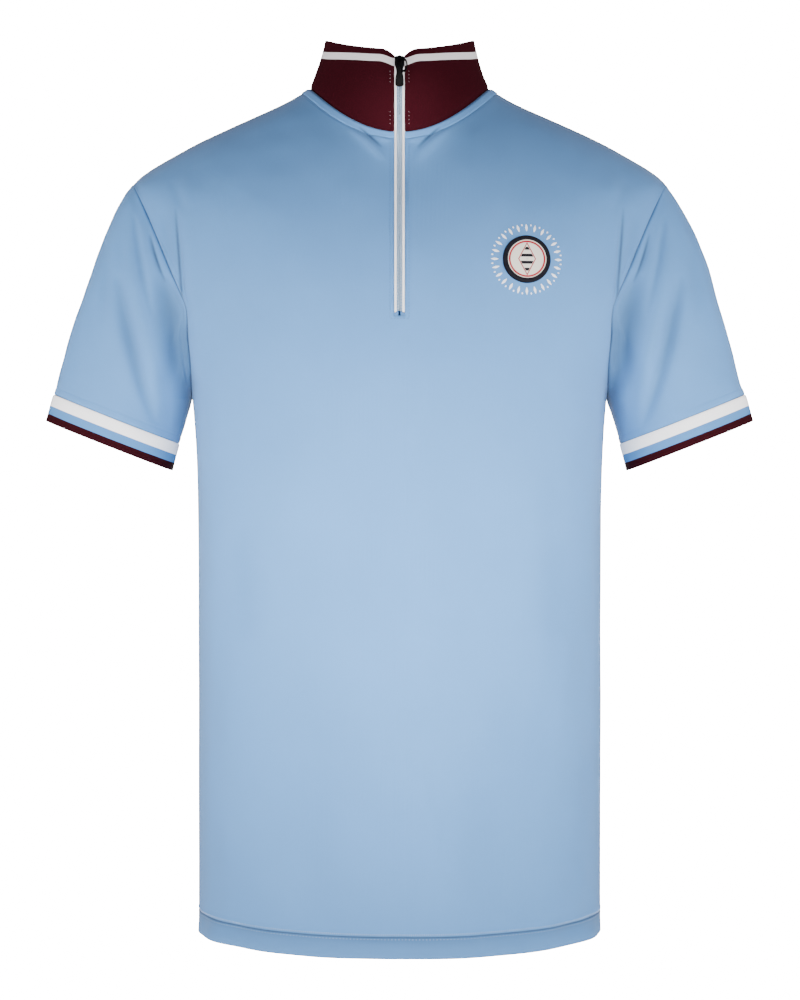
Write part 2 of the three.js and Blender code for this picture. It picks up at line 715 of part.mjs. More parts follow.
/** The level line and angle of the front panel's point at the given x and z. */
function frontPlace(x, z) {
  const v = solve((level) => z - bodyForm(FRONT, angleAtX(level, x), level).z, 2, UNDERARM);
  return { v, angle: angleAtX(v, x) };
}

/** A round badge that follows the chest. */
function chestBadge() {
  const sectors = 24;
  const rings = 3;
  const cell = (x, z) => {
    const { v, angle } = frontPlace(x, z);
    return {
      outer: bodyPoint(FRONT, angle, v, BADGE.lift + BADGE.thickness),
      inner: bodyPoint(FRONT, angle, v, BADGE.lift),
    };
  };
  const cells = [cell(BADGE.x, BADGE.z)];
  for (let ring = 1; ring <= rings; ring += 1) {
    for (let sector = 0; sector < sectors; sector += 1) {
      const turn = (2 * Math.PI * sector) / sectors;
      const radius = (BADGE.radius * ring) / rings;
      cells.push(cell(BADGE.x + radius * Math.cos(turn), BADGE.z + radius * Math.sin(turn)));
    }
  }
  const count = cells.length;
  const triangles = [];
  const at = (ring, sector) => 1 + (ring - 1) * sectors + (sector % sectors);
  const both = (a, b, c) => triangles.push([a, b, c], [count + a, count + c, count + b]);
  for (let sector = 0; sector < sectors; sector += 1) {
    both(0, at(1, sector), at(1, sector + 1));
    for (let ring = 1; ring < rings; ring += 1) {
      both(at(ring, sector), at(ring + 1, sector), at(ring + 1, sector + 1));
      both(at(ring, sector), at(ring + 1, sector + 1), at(ring, sector + 1));
    }
    const [a, b] = [at(rings, sector), at(rings, sector + 1)];
    triangles.push([b, a, count + a], [b, count + a, count + b]);
  }
  return solidGeometry([...cells.map((c) => c.outer), ...cells.map((c) => c.inner)], triangles);
}

// Assembly

const cloth = { roughness: 0.85, metalness: 0 };
const blue = new THREE.MeshStandardMaterial({ color: 0xa6c0da, ...cloth });
const burgundy = new THREE.MeshStandardMaterial({ color: 0x4a1018, ...cloth });
const white = new THREE.MeshStandardMaterial({ color: 0xe6e6e8, ...cloth });
const black = new THREE.MeshStandardMaterial({ color: 0x151516, roughness: 0.4, metalness: 0 });

const shirt = new THREE.Group();

function addPiece(name, geometry, material) {
  const mesh = new THREE.Mesh(geometry, material);
  mesh.name = name;
  shirt.add(mesh);
  return mesh;
}

/** The same geometry on the other side of the middle. */
function reflected(geometry) {
  const copy = geometry.clone().scale(-1, 1, 1);
  const index = [...copy.index.array];
  for (let i = 0; i < index.length; i += 3) {
    [index[i + 1], index[i + 2]] = [index[i + 2], index[i + 1]];
  }
  copy.setIndex(index);
  copy.computeVertexNormals();
  return copy;
}

/** A piece and its mirror image. Left and right are the wearer's, so the left one is at +X. */
function addPair(name, geometry, material) {
  addPiece(`${name}_left`, geometry, material);
  addPiece(`${name}_right`, reflected(geometry), material);
}

addPiece("front", frontPanel(), blue);
addPiece("back", bodyPanel(BACK, BACK_COLUMNS), blue);
addPair("sleeve", sleeve(), blue);
addPair("cuff", cuff(), burgundy);
addPiece("collar", collar(), burgundy);
addPair("zip_tape", zipTape(), blue);
addPair("zip_coil", zipCoil(), blue);
addPair("zip_piping", zipPiping(), white);
addPiece("chest_badge", chestBadge(), white);

const sliderMesh = addPiece("slider", slider(), black);
sliderMesh.position.copy(sliderPlace);
sliderMesh.rotation.x = -Math.atan2(sliderNormal.z, -sliderNormal.y);
addPiece("pull_tab", pullTab(), black).position.copy(hingePlace);

export default shirt;
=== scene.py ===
"""A half-zip polo shirt in its worn form: knitted panels, a coil zip, sewing and a badge."""

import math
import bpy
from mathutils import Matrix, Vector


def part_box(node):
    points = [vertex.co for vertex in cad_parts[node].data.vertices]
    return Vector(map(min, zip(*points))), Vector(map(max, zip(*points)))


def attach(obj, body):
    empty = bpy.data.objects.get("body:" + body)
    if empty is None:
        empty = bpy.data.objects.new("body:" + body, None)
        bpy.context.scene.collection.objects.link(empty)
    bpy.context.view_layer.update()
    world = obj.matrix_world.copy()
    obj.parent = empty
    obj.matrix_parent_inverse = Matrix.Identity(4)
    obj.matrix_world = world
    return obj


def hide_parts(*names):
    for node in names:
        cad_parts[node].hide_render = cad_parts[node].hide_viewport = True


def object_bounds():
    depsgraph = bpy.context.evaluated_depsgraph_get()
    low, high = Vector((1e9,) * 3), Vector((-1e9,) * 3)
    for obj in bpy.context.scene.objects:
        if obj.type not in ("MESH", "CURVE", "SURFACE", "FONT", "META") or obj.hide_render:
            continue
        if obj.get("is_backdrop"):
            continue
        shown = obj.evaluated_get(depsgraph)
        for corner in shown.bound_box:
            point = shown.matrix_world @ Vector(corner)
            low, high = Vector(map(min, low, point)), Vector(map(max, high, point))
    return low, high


bl_info = {
    "name": "Half-zip polo shirt",
    "version": (1, 0, 0),
    "blender": (4, 5, 0),
    "location": "View3D > Sidebar > Polo shirt",
    "description": "Builds a knitted polo shirt with a stand collar, a coil zip, striped cuffs and a badge",
    "category": "Add Mesh",
}

from contextlib import contextmanager

import bpy
import numpy as np
from bpy.props import FloatProperty, FloatVectorProperty, IntProperty, PointerProperty
from mathutils import Vector
from mathutils.bvhtree import BVHTree

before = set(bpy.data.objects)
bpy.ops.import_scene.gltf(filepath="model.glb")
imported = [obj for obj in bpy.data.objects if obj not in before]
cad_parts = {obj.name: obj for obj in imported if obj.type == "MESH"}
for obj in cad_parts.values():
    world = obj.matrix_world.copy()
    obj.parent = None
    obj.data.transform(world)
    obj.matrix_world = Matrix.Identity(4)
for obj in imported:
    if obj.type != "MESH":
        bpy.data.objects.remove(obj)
CAD_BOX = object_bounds()

# Tables are in millimetres, like the pattern cutter's, and meshes are in metres.
MM = 0.001
FRONT, BACK = -1, 1
SIDES = ((1, "left"), (-1, "right"))
Y_AXIS = np.array((0, 1, 0))
QUARTER = math.pi / 2
SHIRT = "shirt"

# Level lines of the body from the neckline to the hem: the half width and height at the side, and
# the depth and height at the centre front and back. A power under 1 fills the oval out.
SECTION_COLUMNS = ("at", "side_x", "side_z", "front_y", "front_z", "back_y", "back_z", "power")
SECTIONS = (
    (0, 77, 0, 66, -44, 60, -12, 1),
    (1, 98, -13, 71, -52, 66, -24, 1),
    (2, 143, -33, 79, -66, 75, -42, 1),
    (3, 182, -52, 87, -84, 83, -62, 1),
    (4, 226, -81, 95.5, -108, 93, -90, 0.985),
    (5, 222, -112, 104, -134, 102, -120, 0.945),
    (6, 209, -150, 112, -166, 110, -157, 0.92),
    (7, 194, -195, 118, -205, 115, -200, 0.91),
    (8, 182, -234, 122, -238, 117, -236, 0.905),
    (9, 176, -262, 123, -262, 117, -262, 0.9),
    (10, 171.8, -330, 122, -330, 112, -330, 0.9),
    (11, 170.8, -450, 118, -450, 103, -450, 0.9),
    (12, 170.8, -600, 122, -600, 110, -600, 0.9),
    (13, 170.8, -713, 124, -720, 117, -720, 0.9),
)
NECK, SHOULDER, UNDERARM, HEM = 0, 4, 9, 13

# The armhole seam seen from the front: its distance out at each height.
ARMHOLE_COLUMNS = ("z", "x")
ARMHOLE = (
    (-262, 176),
    (-245, 174.9),
    (-216, 176.3),
    (-186, 179),
    (-177, 182.7),
    (-158, 191.3),
    (-136, 200.4),
    (-109, 212.3),
    (-81, 226),
)

# The sleeve's end is an oval whose long axis slopes up away from the body.
CUFF_CENTRE = np.array((246.3, -4, -303.4))
CUFF_AXIS = np.array((0.9305, 0, 0.366))
CUFF_HALF_WIDTH, CUFF_HALF_DEPTH, CUFF_DEPTH = 57, 47, 23.4
OVER_SHOULDER = np.array((0.62, 0, -0.78))
UNDER_ARM = np.array((0.27, 0, -0.963))
CUFF_RUN = UNDER_ARM / np.linalg.norm(UNDER_ARM)
SLEEVE_FULLNESS, SLEEVE_START, SLEEVE_END = 0.16, 0.75, 1.0

# The stand collar leans in to its rim, and its front corners are rounded off by the zip.
COLLAR_RIM_X, COLLAR_RIM_FRONT_Y, COLLAR_RIM_BACK_Y = 63.3, 57, 52
COLLAR_SIDE_Z, COLLAR_FRONT_Z, COLLAR_BACK_Z = 40.8, 25.5, 34
COLLAR_HOLLOW, COLLAR_DROP, COLLAR_REACH, COLLAR_INSET = 1.2, 7.2, 13, 0.6

CUFF_WALL, COLLAR_WALL = 0.0019, 0.0021

# How far the collar's stripe lies below the rim, out from the zip. From a distance on it is level.
STRIPE_COLUMNS = ("x", "drop")
STRIPE_LEVEL_X = 66
STRIPE = (
    (0, 0),
    (3.4, 1.0),
    (5, 2.4),
    (7.5, 3.8),
    (11, 4.7),
    (20, 5.3),
    (36, 6.0),
    (50, 7.6),
    (64, 10.0),
    (80, 10.4),
)

# The zip's slot: its half width on the front and at the collar's rim, and the height of its end.
ZIP_SLOT, ZIP_TOP, ZIP_END = 4.4, 2.6, -198

# The stitches beside the zip: how far out they are, and where two short rows lie on the collar.
STITCH_COLUMN = 7.8
COLLAR_STITCHES = ((-4.2, 9.2), (-39.5, -26))

# What the sewing presses in beside an edge: its distance, depth and width. A negative depth is a ridge.
NECK_STITCHES = 8.0
NECK_GROOVES = ((0, 1.1, 1.4), (NECK_STITCHES, 0.6, 0.5))
HEM_GROOVES = ((0, 1.2, 0.75), (2.4, -1.1, 2.2), (-7, 1.2, 4.2))
CUFF_GROOVES = ((0, 0.8, 1.0), (6.2, 0.22, 0.7))
SEAM_WIDTH = 1.0

# The raised band round the neck, and the cloth that is turned in at the edges.
BAND_TOP, BAND_FOOT, BAND_RISE = 0.8, 7.6, 0.5
TURNING, CUFF_TURNING, HEM_ROLL = 3.2, 2.6, 0.95

# Roughly how wide each panel is along its hem, in metres, for the area of the cloth turned up.
HEM_LENGTH = 0.54

# Soft folds: a curve through three points seen from the front or back, its width and its depth.
# A negative depth is a ridge. BOTH puts the same fold on both sides.
FOLD_COLUMNS = ("x0", "z0", "x1", "z1", "x2", "z2", "width", "depth", "sides")
BOTH, LEFT, RIGHT = 0, 1, -1
FRONT_FOLDS = (
    (186, -106, 183, -152, 179, -206, 2.6, 2.6, BOTH),
    (197, -108, 193, -142, 187, -176, 6, 2.0, BOTH),
    (190, -82, 184, -98, 178, -114, 5, 1.1, BOTH),
    (179, -74, 175, -90, 172, -108, 8, -0.9, BOTH),
    (172, -158, 170, -205, 168, -254, 7, -1.0, BOTH),
    (41, -42, 25, -56, 13, -70, 3.2, -2.8, BOTH),
    (34, -40, 24, -49, 14, -59, 1.7, 1.3, BOTH),
    (23, -47.5, 15, -51, 7, -51.5, 2.2, -1.5, BOTH),
    (128, -370, 127, -420, 126, -475, 13, 1.4, BOTH),
    (60, -560, 64, -630, 66, -705, 20, 0.8, BOTH),
)
BACK_FOLDS = (
    (186, -112, 180, -160, 171, -208, 9, 3.4, BOTH),
    (150, -170, 126, -220, 104, -290, 16, 2.2, RIGHT),
    (156, -180, 128, -236, 100, -286, 15, 2.0, LEFT),
    (118, -500, 122, -640, 128, -800, 20, 4.2, BOTH),
    (42, -400, 46, -600, 52, -800, 24, 4.6, BOTH),
    (84, -460, 86, -620, 90, -800, 17, -2.4, BOTH),
    (0, -420, 2, -600, -2, -800, 20, -2.2, LEFT),
    (-60, -425, 0, -437, 66, -428, 13, 1.6, LEFT),
    (60, -34, 40, -42, 16, -47, 7, 0.8, BOTH),
    (170, -300, 150, -360, 140, -430, 14, 2.2, BOTH),
)
SLEEVE_FRONT_FOLDS = (
    (197, -160, 187, -208, 178, -264, 12, 9.0, BOTH),
    (236, -160, 225, -214, 203, -288, 6, 4.8, BOTH),
    (222, -110, 217, -145, 206, -196, 3.4, 1.8, BOTH),
    (209, -126, 203, -148, 195, -168, 2.4, 1.2, BOTH),
    (246, -132, 247, -165, 250, -206, 6, 1.0, BOTH),
    (216, -186, 208, -228, 198, -274, 7, -1.8, BOTH),
    (228, -124, 223, -160, 214, -206, 5, -1.2, BOTH),
)
SLEEVE_BACK_FOLDS = (
    (208, -140, 199, -206, 188, -262, 11, 5.2, BOTH),
    (236, -186, 230, -232, 216, -288, 10, 3.8, BOTH),
    (224, -128, 219, -152, 215, -176, 8, 1.6, BOTH),
    (220, -160, 214, -220, 204, -276, 9, -1.6, BOTH),
)

# A fold narrower than the first also gets a painted shade line, and one of the second depth gets the full
# painted shade.
TIGHT_FOLD, DEEP_FOLD, CREASE_REACH = 2.7, 8, 7

# Where the shade under the arm starts on the sleeve, and a distance that nothing is drawn at.
SHADE_X, SHADE_Z = 191, -165
FAR = 99.0


def hermite(start, rise, first, last, t):
    """A cubic from start to start + rise, with the slopes first and last at its ends."""
    return start + t * (first + t * (3 * rise - 2 * first - last + t * (first + last - 2 * rise)))


class Profile:
    """Smooth curves through a table's rows: every column as a function of the first one."""

    def __init__(self, columns, rows):
        self.columns = columns
        self.table = np.array(rows, float)
        self.keys = self.table[:, 0]
        steps = np.diff(self.keys)[:, None]
        rates = np.diff(self.table, axis=0) / steps
        inner = (rates[:-1] * steps[1:] + rates[1:] * steps[:-1]) / (steps[:-1] + steps[1:])
        self.slopes = np.vstack([rates[:1], inner, rates[-1:]])

    def __call__(self, value):
        value = np.asarray(value, float)
        i = np.clip(np.searchsorted(self.keys, value) - 1, 0, len(self.keys) - 2)
        span = (self.keys[i + 1] - self.keys[i])[..., None]
        t = (value - self.keys[i])[..., None] / span
        rise = self.table[i + 1] - self.table[i]
        result = hermite(self.table[i], rise, self.slopes[i] * span, self.slopes[i + 1] * span, t)
        return dict(zip(self.columns, np.moveaxis(result, -1, 0)))


section_at = Profile(SECTION_COLUMNS, SECTIONS)
armhole_at = Profile(ARMHOLE_COLUMNS, ARMHOLE)
stripe_at = Profile(STRIPE_COLUMNS, STRIPE)


def mix(a, b, t):
    return a + (b - a) * t


def faded(distance, reach, least=0.0):
    """0, or the least, at an edge, and 1 from its reach on."""
    return np.clip(distance / reach, least, 1)


def unit(vectors):
    return vectors / np.maximum(np.linalg.norm(vectors, axis=-1, keepdims=True), 1e-12)


def mirrored(points):
    return points * np.array((-1, 1, 1))


def running_length(points, axis=0):
    """How far along its line each point lies, for points stacked along axis."""
    steps = np.linalg.norm(np.diff(points, axis=axis), axis=-1)
    pad = [(0, 0)] * steps.ndim
    pad[axis] = (1, 0)
    return np.pad(np.cumsum(steps, axis=axis), pad)


def resampled(points, places, run=None):
    """The points of a line at the given distances along it."""
    run = running_length(points) if run is None else run
    return np.stack([np.interp(places, run, points[:, k]) for k in range(points.shape[1])], -1)


# Body form


def body_form(side, angle, level):
    """Points of the smooth body: angle 0 is the centre front or back, a quarter turn the side."""
    row = section_at(level)
    end = "front" if side == FRONT else "back"
    depth, end_z = row[f"{end}_y"], row[f"{end}_z"]
    sine, cosine = np.sin(angle), np.cos(angle)
    x = row["side_x"] * np.sign(sine) * np.abs(sine) ** row["power"]
    y = side * depth * np.abs(cosine) ** row["power"]
    z = row["side_z"] + (end_z - row["side_z"]) * cosine**2
    return np.stack(np.broadcast_arrays(x, y, z), -1)


def body_normal(side, angle, level):
    """The body's outward normals, from small steps towards the middle of each panel."""
    turn = np.where(np.asarray(angle) < 0, 0.01, -0.01)
    step = np.where(np.asarray(level) > 0.02, -0.02, 0.02)
    here = body_form(side, angle, level)
    round_body = body_form(side, angle + turn, level) - here
    down_body = body_form(side, angle, level + step) - here
    normal = unit(np.cross(round_body, down_body))
    outwards = here * np.array((1, 1, 0)) + np.array((0, 0, 40))
    return normal * np.sign(np.sum(normal * outwards, -1, keepdims=True))


def angle_at_x(level, x):
    """The angle at which a level line lies a distance x out."""
    row = section_at(level)
    return np.arcsin(np.clip(x / row["side_x"], 0, 1) ** (1 / row["power"]))


def edge_angle(side, level):
    """The angle of a panel's edge: its side seam, or where the level line meets the armhole."""
    low, high = np.full(level.shape, QUARTER / 3), np.full(level.shape, QUARTER)
    for _ in range(40):
        middle = (low + high) / 2
        point = body_form(side, middle, level)
        past = point[..., 0] > armhole_at(point[..., 2])["x"]
        low, high = np.where(past, low, middle), np.where(past, middle, high)
    return np.where((level > SHOULDER) & (level < UNDERARM), high, QUARTER)


# The rows of a panel above, beside and below the armhole, the columns of half a panel, and the
# sleeve's rows and its deepest fold.
YOKE_ROWS, ARMHOLE_ROWS, LOWER_ROWS = 44, 82, 84
HALF_COLUMNS = 62
SLEEVE_ROWS, DEEPEST = 92, 9


def body_levels():
    """Level lines in even steps: across the yoke, down the armhole and down to the hem."""
    fine = np.linspace(SHOULDER, UNDERARM, 600)
    seam = body_form(FRONT, edge_angle(FRONT, fine), fine)
    run = running_length(seam)
    armhole = np.interp(np.linspace(0, run[-1], ARMHOLE_ROWS + 1), run, fine)
    below = np.linspace(UNDERARM, HEM, 400)
    heights = section_at(below)["side_z"]
    lower = np.interp(np.linspace(-heights[0], -heights[-1], LOWER_ROWS + 1), -heights, below)
    return np.concatenate([np.linspace(NECK, SHOULDER, YOKE_ROWS + 1)[:-1], armhole, lower[1:]])


LEVELS = body_levels()


class Armhole:
    """The ring of the +X armhole, from the shoulder down the back and up the front."""

    def __init__(self):
        rows = LEVELS[YOKE_ROWS : YOKE_ROWS + ARMHOLE_ROWS + 1]
        ring, normals, forward = [], [], []
        for side, part in ((BACK, slice(0, None)), (FRONT, slice(ARMHOLE_ROWS - 1, 0, -1))):
            angle = edge_angle(side, rows)
            ring.append(body_form(side, angle, rows)[part])
            normals.append(body_normal(side, angle, rows)[part])
            forward.append(np.full(len(ring[-1]), float(side)))
        self.points = np.concatenate(ring)
        self.points[[0, ARMHOLE_ROWS], 1] = 0
        self.forward = np.concatenate(forward)
        steps = np.arange(len(self.points))
        run = running_length(self.points[-np.arange(ARMHOLE_ROWS + 1)])
        self.turn = np.pi * run[np.minimum(steps, len(steps) - steps)] / run[-1]
        self.start = mix(OVER_SHOULDER, UNDER_ARM, ((1 - np.cos(self.turn)) / 2)[:, None])
        self.start[:, 1] += self.forward * SLEEVE_FULLNESS * np.sin(self.turn)
        self.start = unit(self.start)
        tangent = unit(np.roll(self.points, -1, 0) - np.roll(self.points, 1, 0))
        self.mitre = unit(np.concatenate(normals) + unit(np.cross(self.start, tangent)))


ARM = Armhole()


def sleeve_form(t):
    """The smooth sleeve: rows of t from the armhole to the cuff's top, ringed like the armhole."""
    rise = cuff_form(CUFF_DEPTH) - ARM.points
    length = np.linalg.norm(rise, axis=-1)[:, None]
    first, last = ARM.start * length * SLEEVE_START, CUFF_RUN * length * SLEEVE_END
    return hermite(ARM.points, rise, first, last, t[:, None, None])


def cuff_form(back, spread=0.0):
    """The cuff's oval, back along the sleeve from its end and spread outwards."""
    along = (CUFF_HALF_WIDTH + spread) * np.cos(ARM.turn)
    across = (CUFF_HALF_DEPTH + spread) * ARM.forward * np.sin(ARM.turn)
    return CUFF_CENTRE + along[:, None] * CUFF_AXIS + across[:, None] * Y_AXIS - CUFF_RUN * back


# Collar form


def collar_hollow(height):
    return COLLAR_HOLLOW * 4 * height * (1 - height)


def collar_half_x(height):
    return mix(SECTIONS[0][1] - COLLAR_INSET, COLLAR_RIM_X, height) - collar_hollow(height)


def collar_form(turn, height):
    """Points of the collar's face: turn 0 is the centre front, height 0 the neck seam, 1 the rim."""
    front = np.cos(turn) > 0
    along = np.abs(np.cos(turn))
    _, _, side_z, front_y, front_z, back_y, back_z, _ = SECTIONS[0]
    base_y = np.where(front, front_y, back_y) - COLLAR_INSET
    rim_y = np.where(front, COLLAR_RIM_FRONT_Y, COLLAR_RIM_BACK_Y)
    half_y = mix(base_y, rim_y, height) - collar_hollow(height)
    x = collar_half_x(height) * np.sin(turn)
    y = np.where(front, -half_y, half_y) * along
    base_z = mix(side_z, np.where(front, front_z, back_z), along**2)
    past = faded(np.abs(x) - ZIP_TOP, COLLAR_REACH)
    drop = np.where(front, COLLAR_DROP * (1 - past) ** 2, 0)
    rim_z = mix(COLLAR_SIDE_Z, np.where(front, COLLAR_FRONT_Z, COLLAR_BACK_Z), along**1.5) - drop
    return np.stack(np.broadcast_arrays(x, y, mix(base_z, rim_z, height)), -1)


# Cloth grids


def grid_normals(grid, ring=False):
    """Outward normals of a grid whose rows run down and whose columns run round to the right."""
    down = np.gradient(grid, axis=0)
    if ring:
        across = np.roll(grid, -1, 1) - np.roll(grid, 1, 1)
    else:
        across = np.gradient(grid, axis=1)
    return unit(np.cross(down, across))


def relaxed(grid, rounds, ring=False):
    """The grid with its inner points eased towards their neighbours, and its edges held."""
    grid = grid.copy()
    for _ in range(rounds):
        if ring:
            sides = np.roll(grid, 1, 1)[1:-1] + np.roll(grid, -1, 1)[1:-1]
            inner = grid[1:-1]
            inner += 0.5 * ((sides + grid[:-2] + grid[2:]) / 4 - inner)
        else:
            inner = grid[1:-1, 1:-1]
            near = grid[1:-1, :-2] + grid[1:-1, 2:] + grid[:-2, 1:-1] + grid[2:, 1:-1]
            inner += 0.5 * (near / 4 - inner)
    return grid


def respaced(grid, places, axis=0):
    """The grid with its rows or columns at new places, counted in the old ones."""
    grid = np.moveaxis(grid, axis, 0)
    slopes = np.gradient(grid, axis=0)
    i = np.clip(places.astype(int), 0, len(grid) - 2)
    curve = hermite(grid[i], grid[i + 1] - grid[i], slopes[i], slopes[i + 1], (places - i)[:, None, None])
    return np.moveaxis(curve, 0, axis)


def between_columns(ring):
    """A ring with one more column in the middle of each gap."""
    padded = np.concatenate([ring[:, -1:], ring, ring[:, :2]], 1)
    return respaced(padded, 1 + np.arange(2 * ring.shape[1]) / 2, 1)


def close_places(count, start_cells=0, end_cells=0, start_parts=1, end_parts=1):
    """Places 0 to count in single steps, with the first and last cells split into parts."""
    first = np.arange(start_cells * start_parts) / start_parts
    last = count - np.arange(end_cells * end_parts + 1)[::-1] / end_parts
    return np.concatenate([first, np.arange(start_cells, count - end_cells), last])


def fold_fields(folds, points):
    """Every fold in turn, with each point's distance from it and its strength there, seen from the front."""
    x, z = points[..., 0], points[..., 2]
    for fold in (dict(zip(FOLD_COLUMNS, row)) for row in folds):
        for side in (1, -1) if fold["sides"] == BOTH else (fold["sides"],):
            ends = [np.array((fold[f"x{k}"] * side, fold[f"z{k}"])) for k in range(3)]
            control = 2 * ends[1] - (ends[0] + ends[2]) / 2
            t = np.linspace(0, 1, 9)[:, None]
            curve = ends[0] * (1 - t) ** 2 + 2 * control * t * (1 - t) + ends[2] * t**2
            nearest, place = np.full(x.shape, np.inf), np.zeros(x.shape)
            for k in range(len(curve) - 1):
                run = curve[k + 1] - curve[k]
                from_x, from_z = x - curve[k, 0], z - curve[k, 1]
                along = np.clip((from_x * run[0] + from_z * run[1]) / (run @ run), 0, 1)
                away = np.hypot(from_x - along * run[0], from_z - along * run[1])
                away = away * np.where(from_z * run[0] > from_x * run[1], side, -side)
                closer = np.abs(away) < np.abs(nearest)
                nearest = np.where(closer, away, nearest)
                place = np.where(closer, (k + along) / (len(curve) - 1), place)
            yield fold, nearest, np.sin(np.pi * np.clip(place, 0, 1)) ** 0.8


def fold_depth(folds, points):
    """How deep the folds press in at each point."""
    total = np.zeros(points.shape[:-1])
    for fold, distance, taper in fold_fields(folds, points):
        width = fold["width"] * (0.65 + 0.35 * taper)
        total += groove(distance, fold["depth"] * taper, width)
    return total


def tight_creases(folds, points):
    """Each point's signed distance from the nearest tight fold, the strength of that fold's painted shade
    line, and the painted shade of the folds' hollows.
    """
    nearest, strength = np.full(points.shape[:-1], FAR), np.zeros(points.shape[:-1])
    for fold, distance, taper in fold_fields(folds, points):
        if fold["depth"] > 0 and fold["width"] < TIGHT_FOLD:
            closer = np.abs(distance) < np.abs(nearest)
            nearest = np.where(closer, distance, nearest)
            strength = np.where(closer, groove(distance, taper, CREASE_REACH), strength)
    return nearest, strength, np.clip(fold_depth(folds, points) / DEEP_FOLD, 0, 1)


def ripples(points, seed, depth, shortest, longest, count=14):
    """Slight uneven waves of soft cloth, the same for the same seed."""
    chance = np.random.default_rng(seed)
    total = np.zeros(points.shape[:-1])
    for _ in range(count):
        direction = unit(chance.normal(size=3) * np.array((1, 1, 0.55)))
        length = chance.uniform(shortest, longest)
        total += np.sin(points @ direction * 2 * np.pi / length + chance.uniform(0, 2 * np.pi))
    return total * depth / math.sqrt(count / 2)


def groove(distance, depth, width):
    return depth * np.exp(-((distance / width) ** 2))


def grooves(distance, rows):
    """The grooves of one table, at each distance from the edge."""
    return sum(groove(distance - place, depth, width) for place, depth, width in rows)


def step_up(distance, place, softness):
    """0 before a place and 1 after it, with a soft edge."""
    return 1 / (1 + np.exp(-(distance - place) / softness))


def cloth_uv(grid, middle):
    """Distances in metres across from the middle column and down from the first row."""
    across = running_length(grid, 1)
    across -= across[:, middle : middle + 1]
    return np.stack([across, -running_length(grid, 0)], -1) * MM


def select_only(obj):
    bpy.ops.object.select_all(action="DESELECT")
    obj.select_set(True)
    bpy.context.view_layer.objects.active = obj


@contextmanager
def edited(obj):
    """Edit mode with the whole piece selected."""
    select_only(obj)
    bpy.ops.object.mode_set(mode="EDIT")
    bpy.ops.mesh.select_all(action="SELECT")
    yield
    bpy.ops.object.mode_set(mode="OBJECT")


def modified(obj, kind, **settings):
    """Adds a modifier to the piece and applies it."""
    select_only(obj)
    bpy.ops.object.modifier_add(type=kind)
    modifier = obj.modifiers[-1]
    for name, setting in settings.items():
        setattr(modifier, name, setting)
    bpy.ops.object.modifier_apply(modifier=modifier.name)


def rounded(obj, width, angle):
    """Rounds the edges that are sharper than an angle."""
    modified(obj, "BEVEL", width=width, segments=3, limit_method="ANGLE", angle_limit=angle)


def smooth(obj):
    select_only(obj)
    bpy.ops.object.shade_smooth()


def mesh_piece(name, points, faces, uv, edges=None):
    """A new piece from points in millimetres, with their UVs in metres.

    Each row of edges has the distances from the seams, neck and hem, and the three values of tight_creases.
    """
    mesh = bpy.data.meshes.new(name)
    mesh.from_pydata((points * MM).tolist(), [], faces)
    corners = np.zeros(len(mesh.loops), int)
    mesh.loops.foreach_get("vertex_index", corners)
    mesh.uv_layers.new(name="cloth").data.foreach_set("uv", uv[corners].ravel())
    if edges is not None:
        for title, values in (("edges", edges[:, :3]), ("creases", edges[:, 3:])):
            mesh.attributes.new(title, "FLOAT_VECTOR", "POINT").data.foreach_set("vector", values.ravel())
    mesh.update()
    obj = bpy.data.objects.new(name, mesh)
    bpy.context.collection.objects.link(obj)
    return obj


def grid_faces(rows, columns, ring=False, skip=None):
    """Quads of a grid that face outwards. skip is a mask of the cells that are left open."""
    index = np.arange(rows * columns).reshape(rows, columns)
    right = np.roll(index, -1, 1) if ring else index[:, 1:]
    left = index if ring else index[:, :-1]
    quads = np.stack([left[:-1], left[1:], right[1:], right[:-1]], -1)
    if skip is not None:
        quads = quads[~skip]
    return quads.reshape(-1, 4).tolist()


def shell(name, grid, uv, thickness, ring=False, skip=None, edges=None):
    """A cloth shell on the grid's outer face, thickened inwards."""
    faces = grid_faces(*grid.shape[:2], ring, skip)
    edges = None if edges is None else edges.reshape(-1, edges.shape[-1])
    obj = mesh_piece(name, grid.reshape(-1, 3), faces, uv.reshape(-1, 2), edges)
    if skip is not None:
        with edited(obj):
            bpy.ops.mesh.delete_loose()
    modified(obj, "SOLIDIFY", thickness=thickness, offset=-1, use_even_offset=False)
    smooth(obj)
    return obj


def dress(obj, finish, *nodes):
    """Gives a piece its material and body, and hides the nodes it stands for."""
    obj.data.materials.clear()
    obj.data.materials.append(finish)
    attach(obj, SHIRT)
    if nodes:
        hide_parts(*nodes)


def finish_cloth(obj, finish, node, area):
    """Dresses a cloth piece and hides the node it stands for. The area is not used."""
    dress(obj, finish, node)


def grid_area(grid, ring=False):
    """The area of a grid's face, in square metres."""
    if ring:
        grid = np.concatenate([grid, grid[:, :1]], 1)
    a, b = grid[1:, 1:] - grid[:-1, :-1], grid[1:, :-1] - grid[:-1, 1:]
    return float(np.linalg.norm(np.cross(a, b), axis=-1).sum() / 2) * MM**2


# Materials


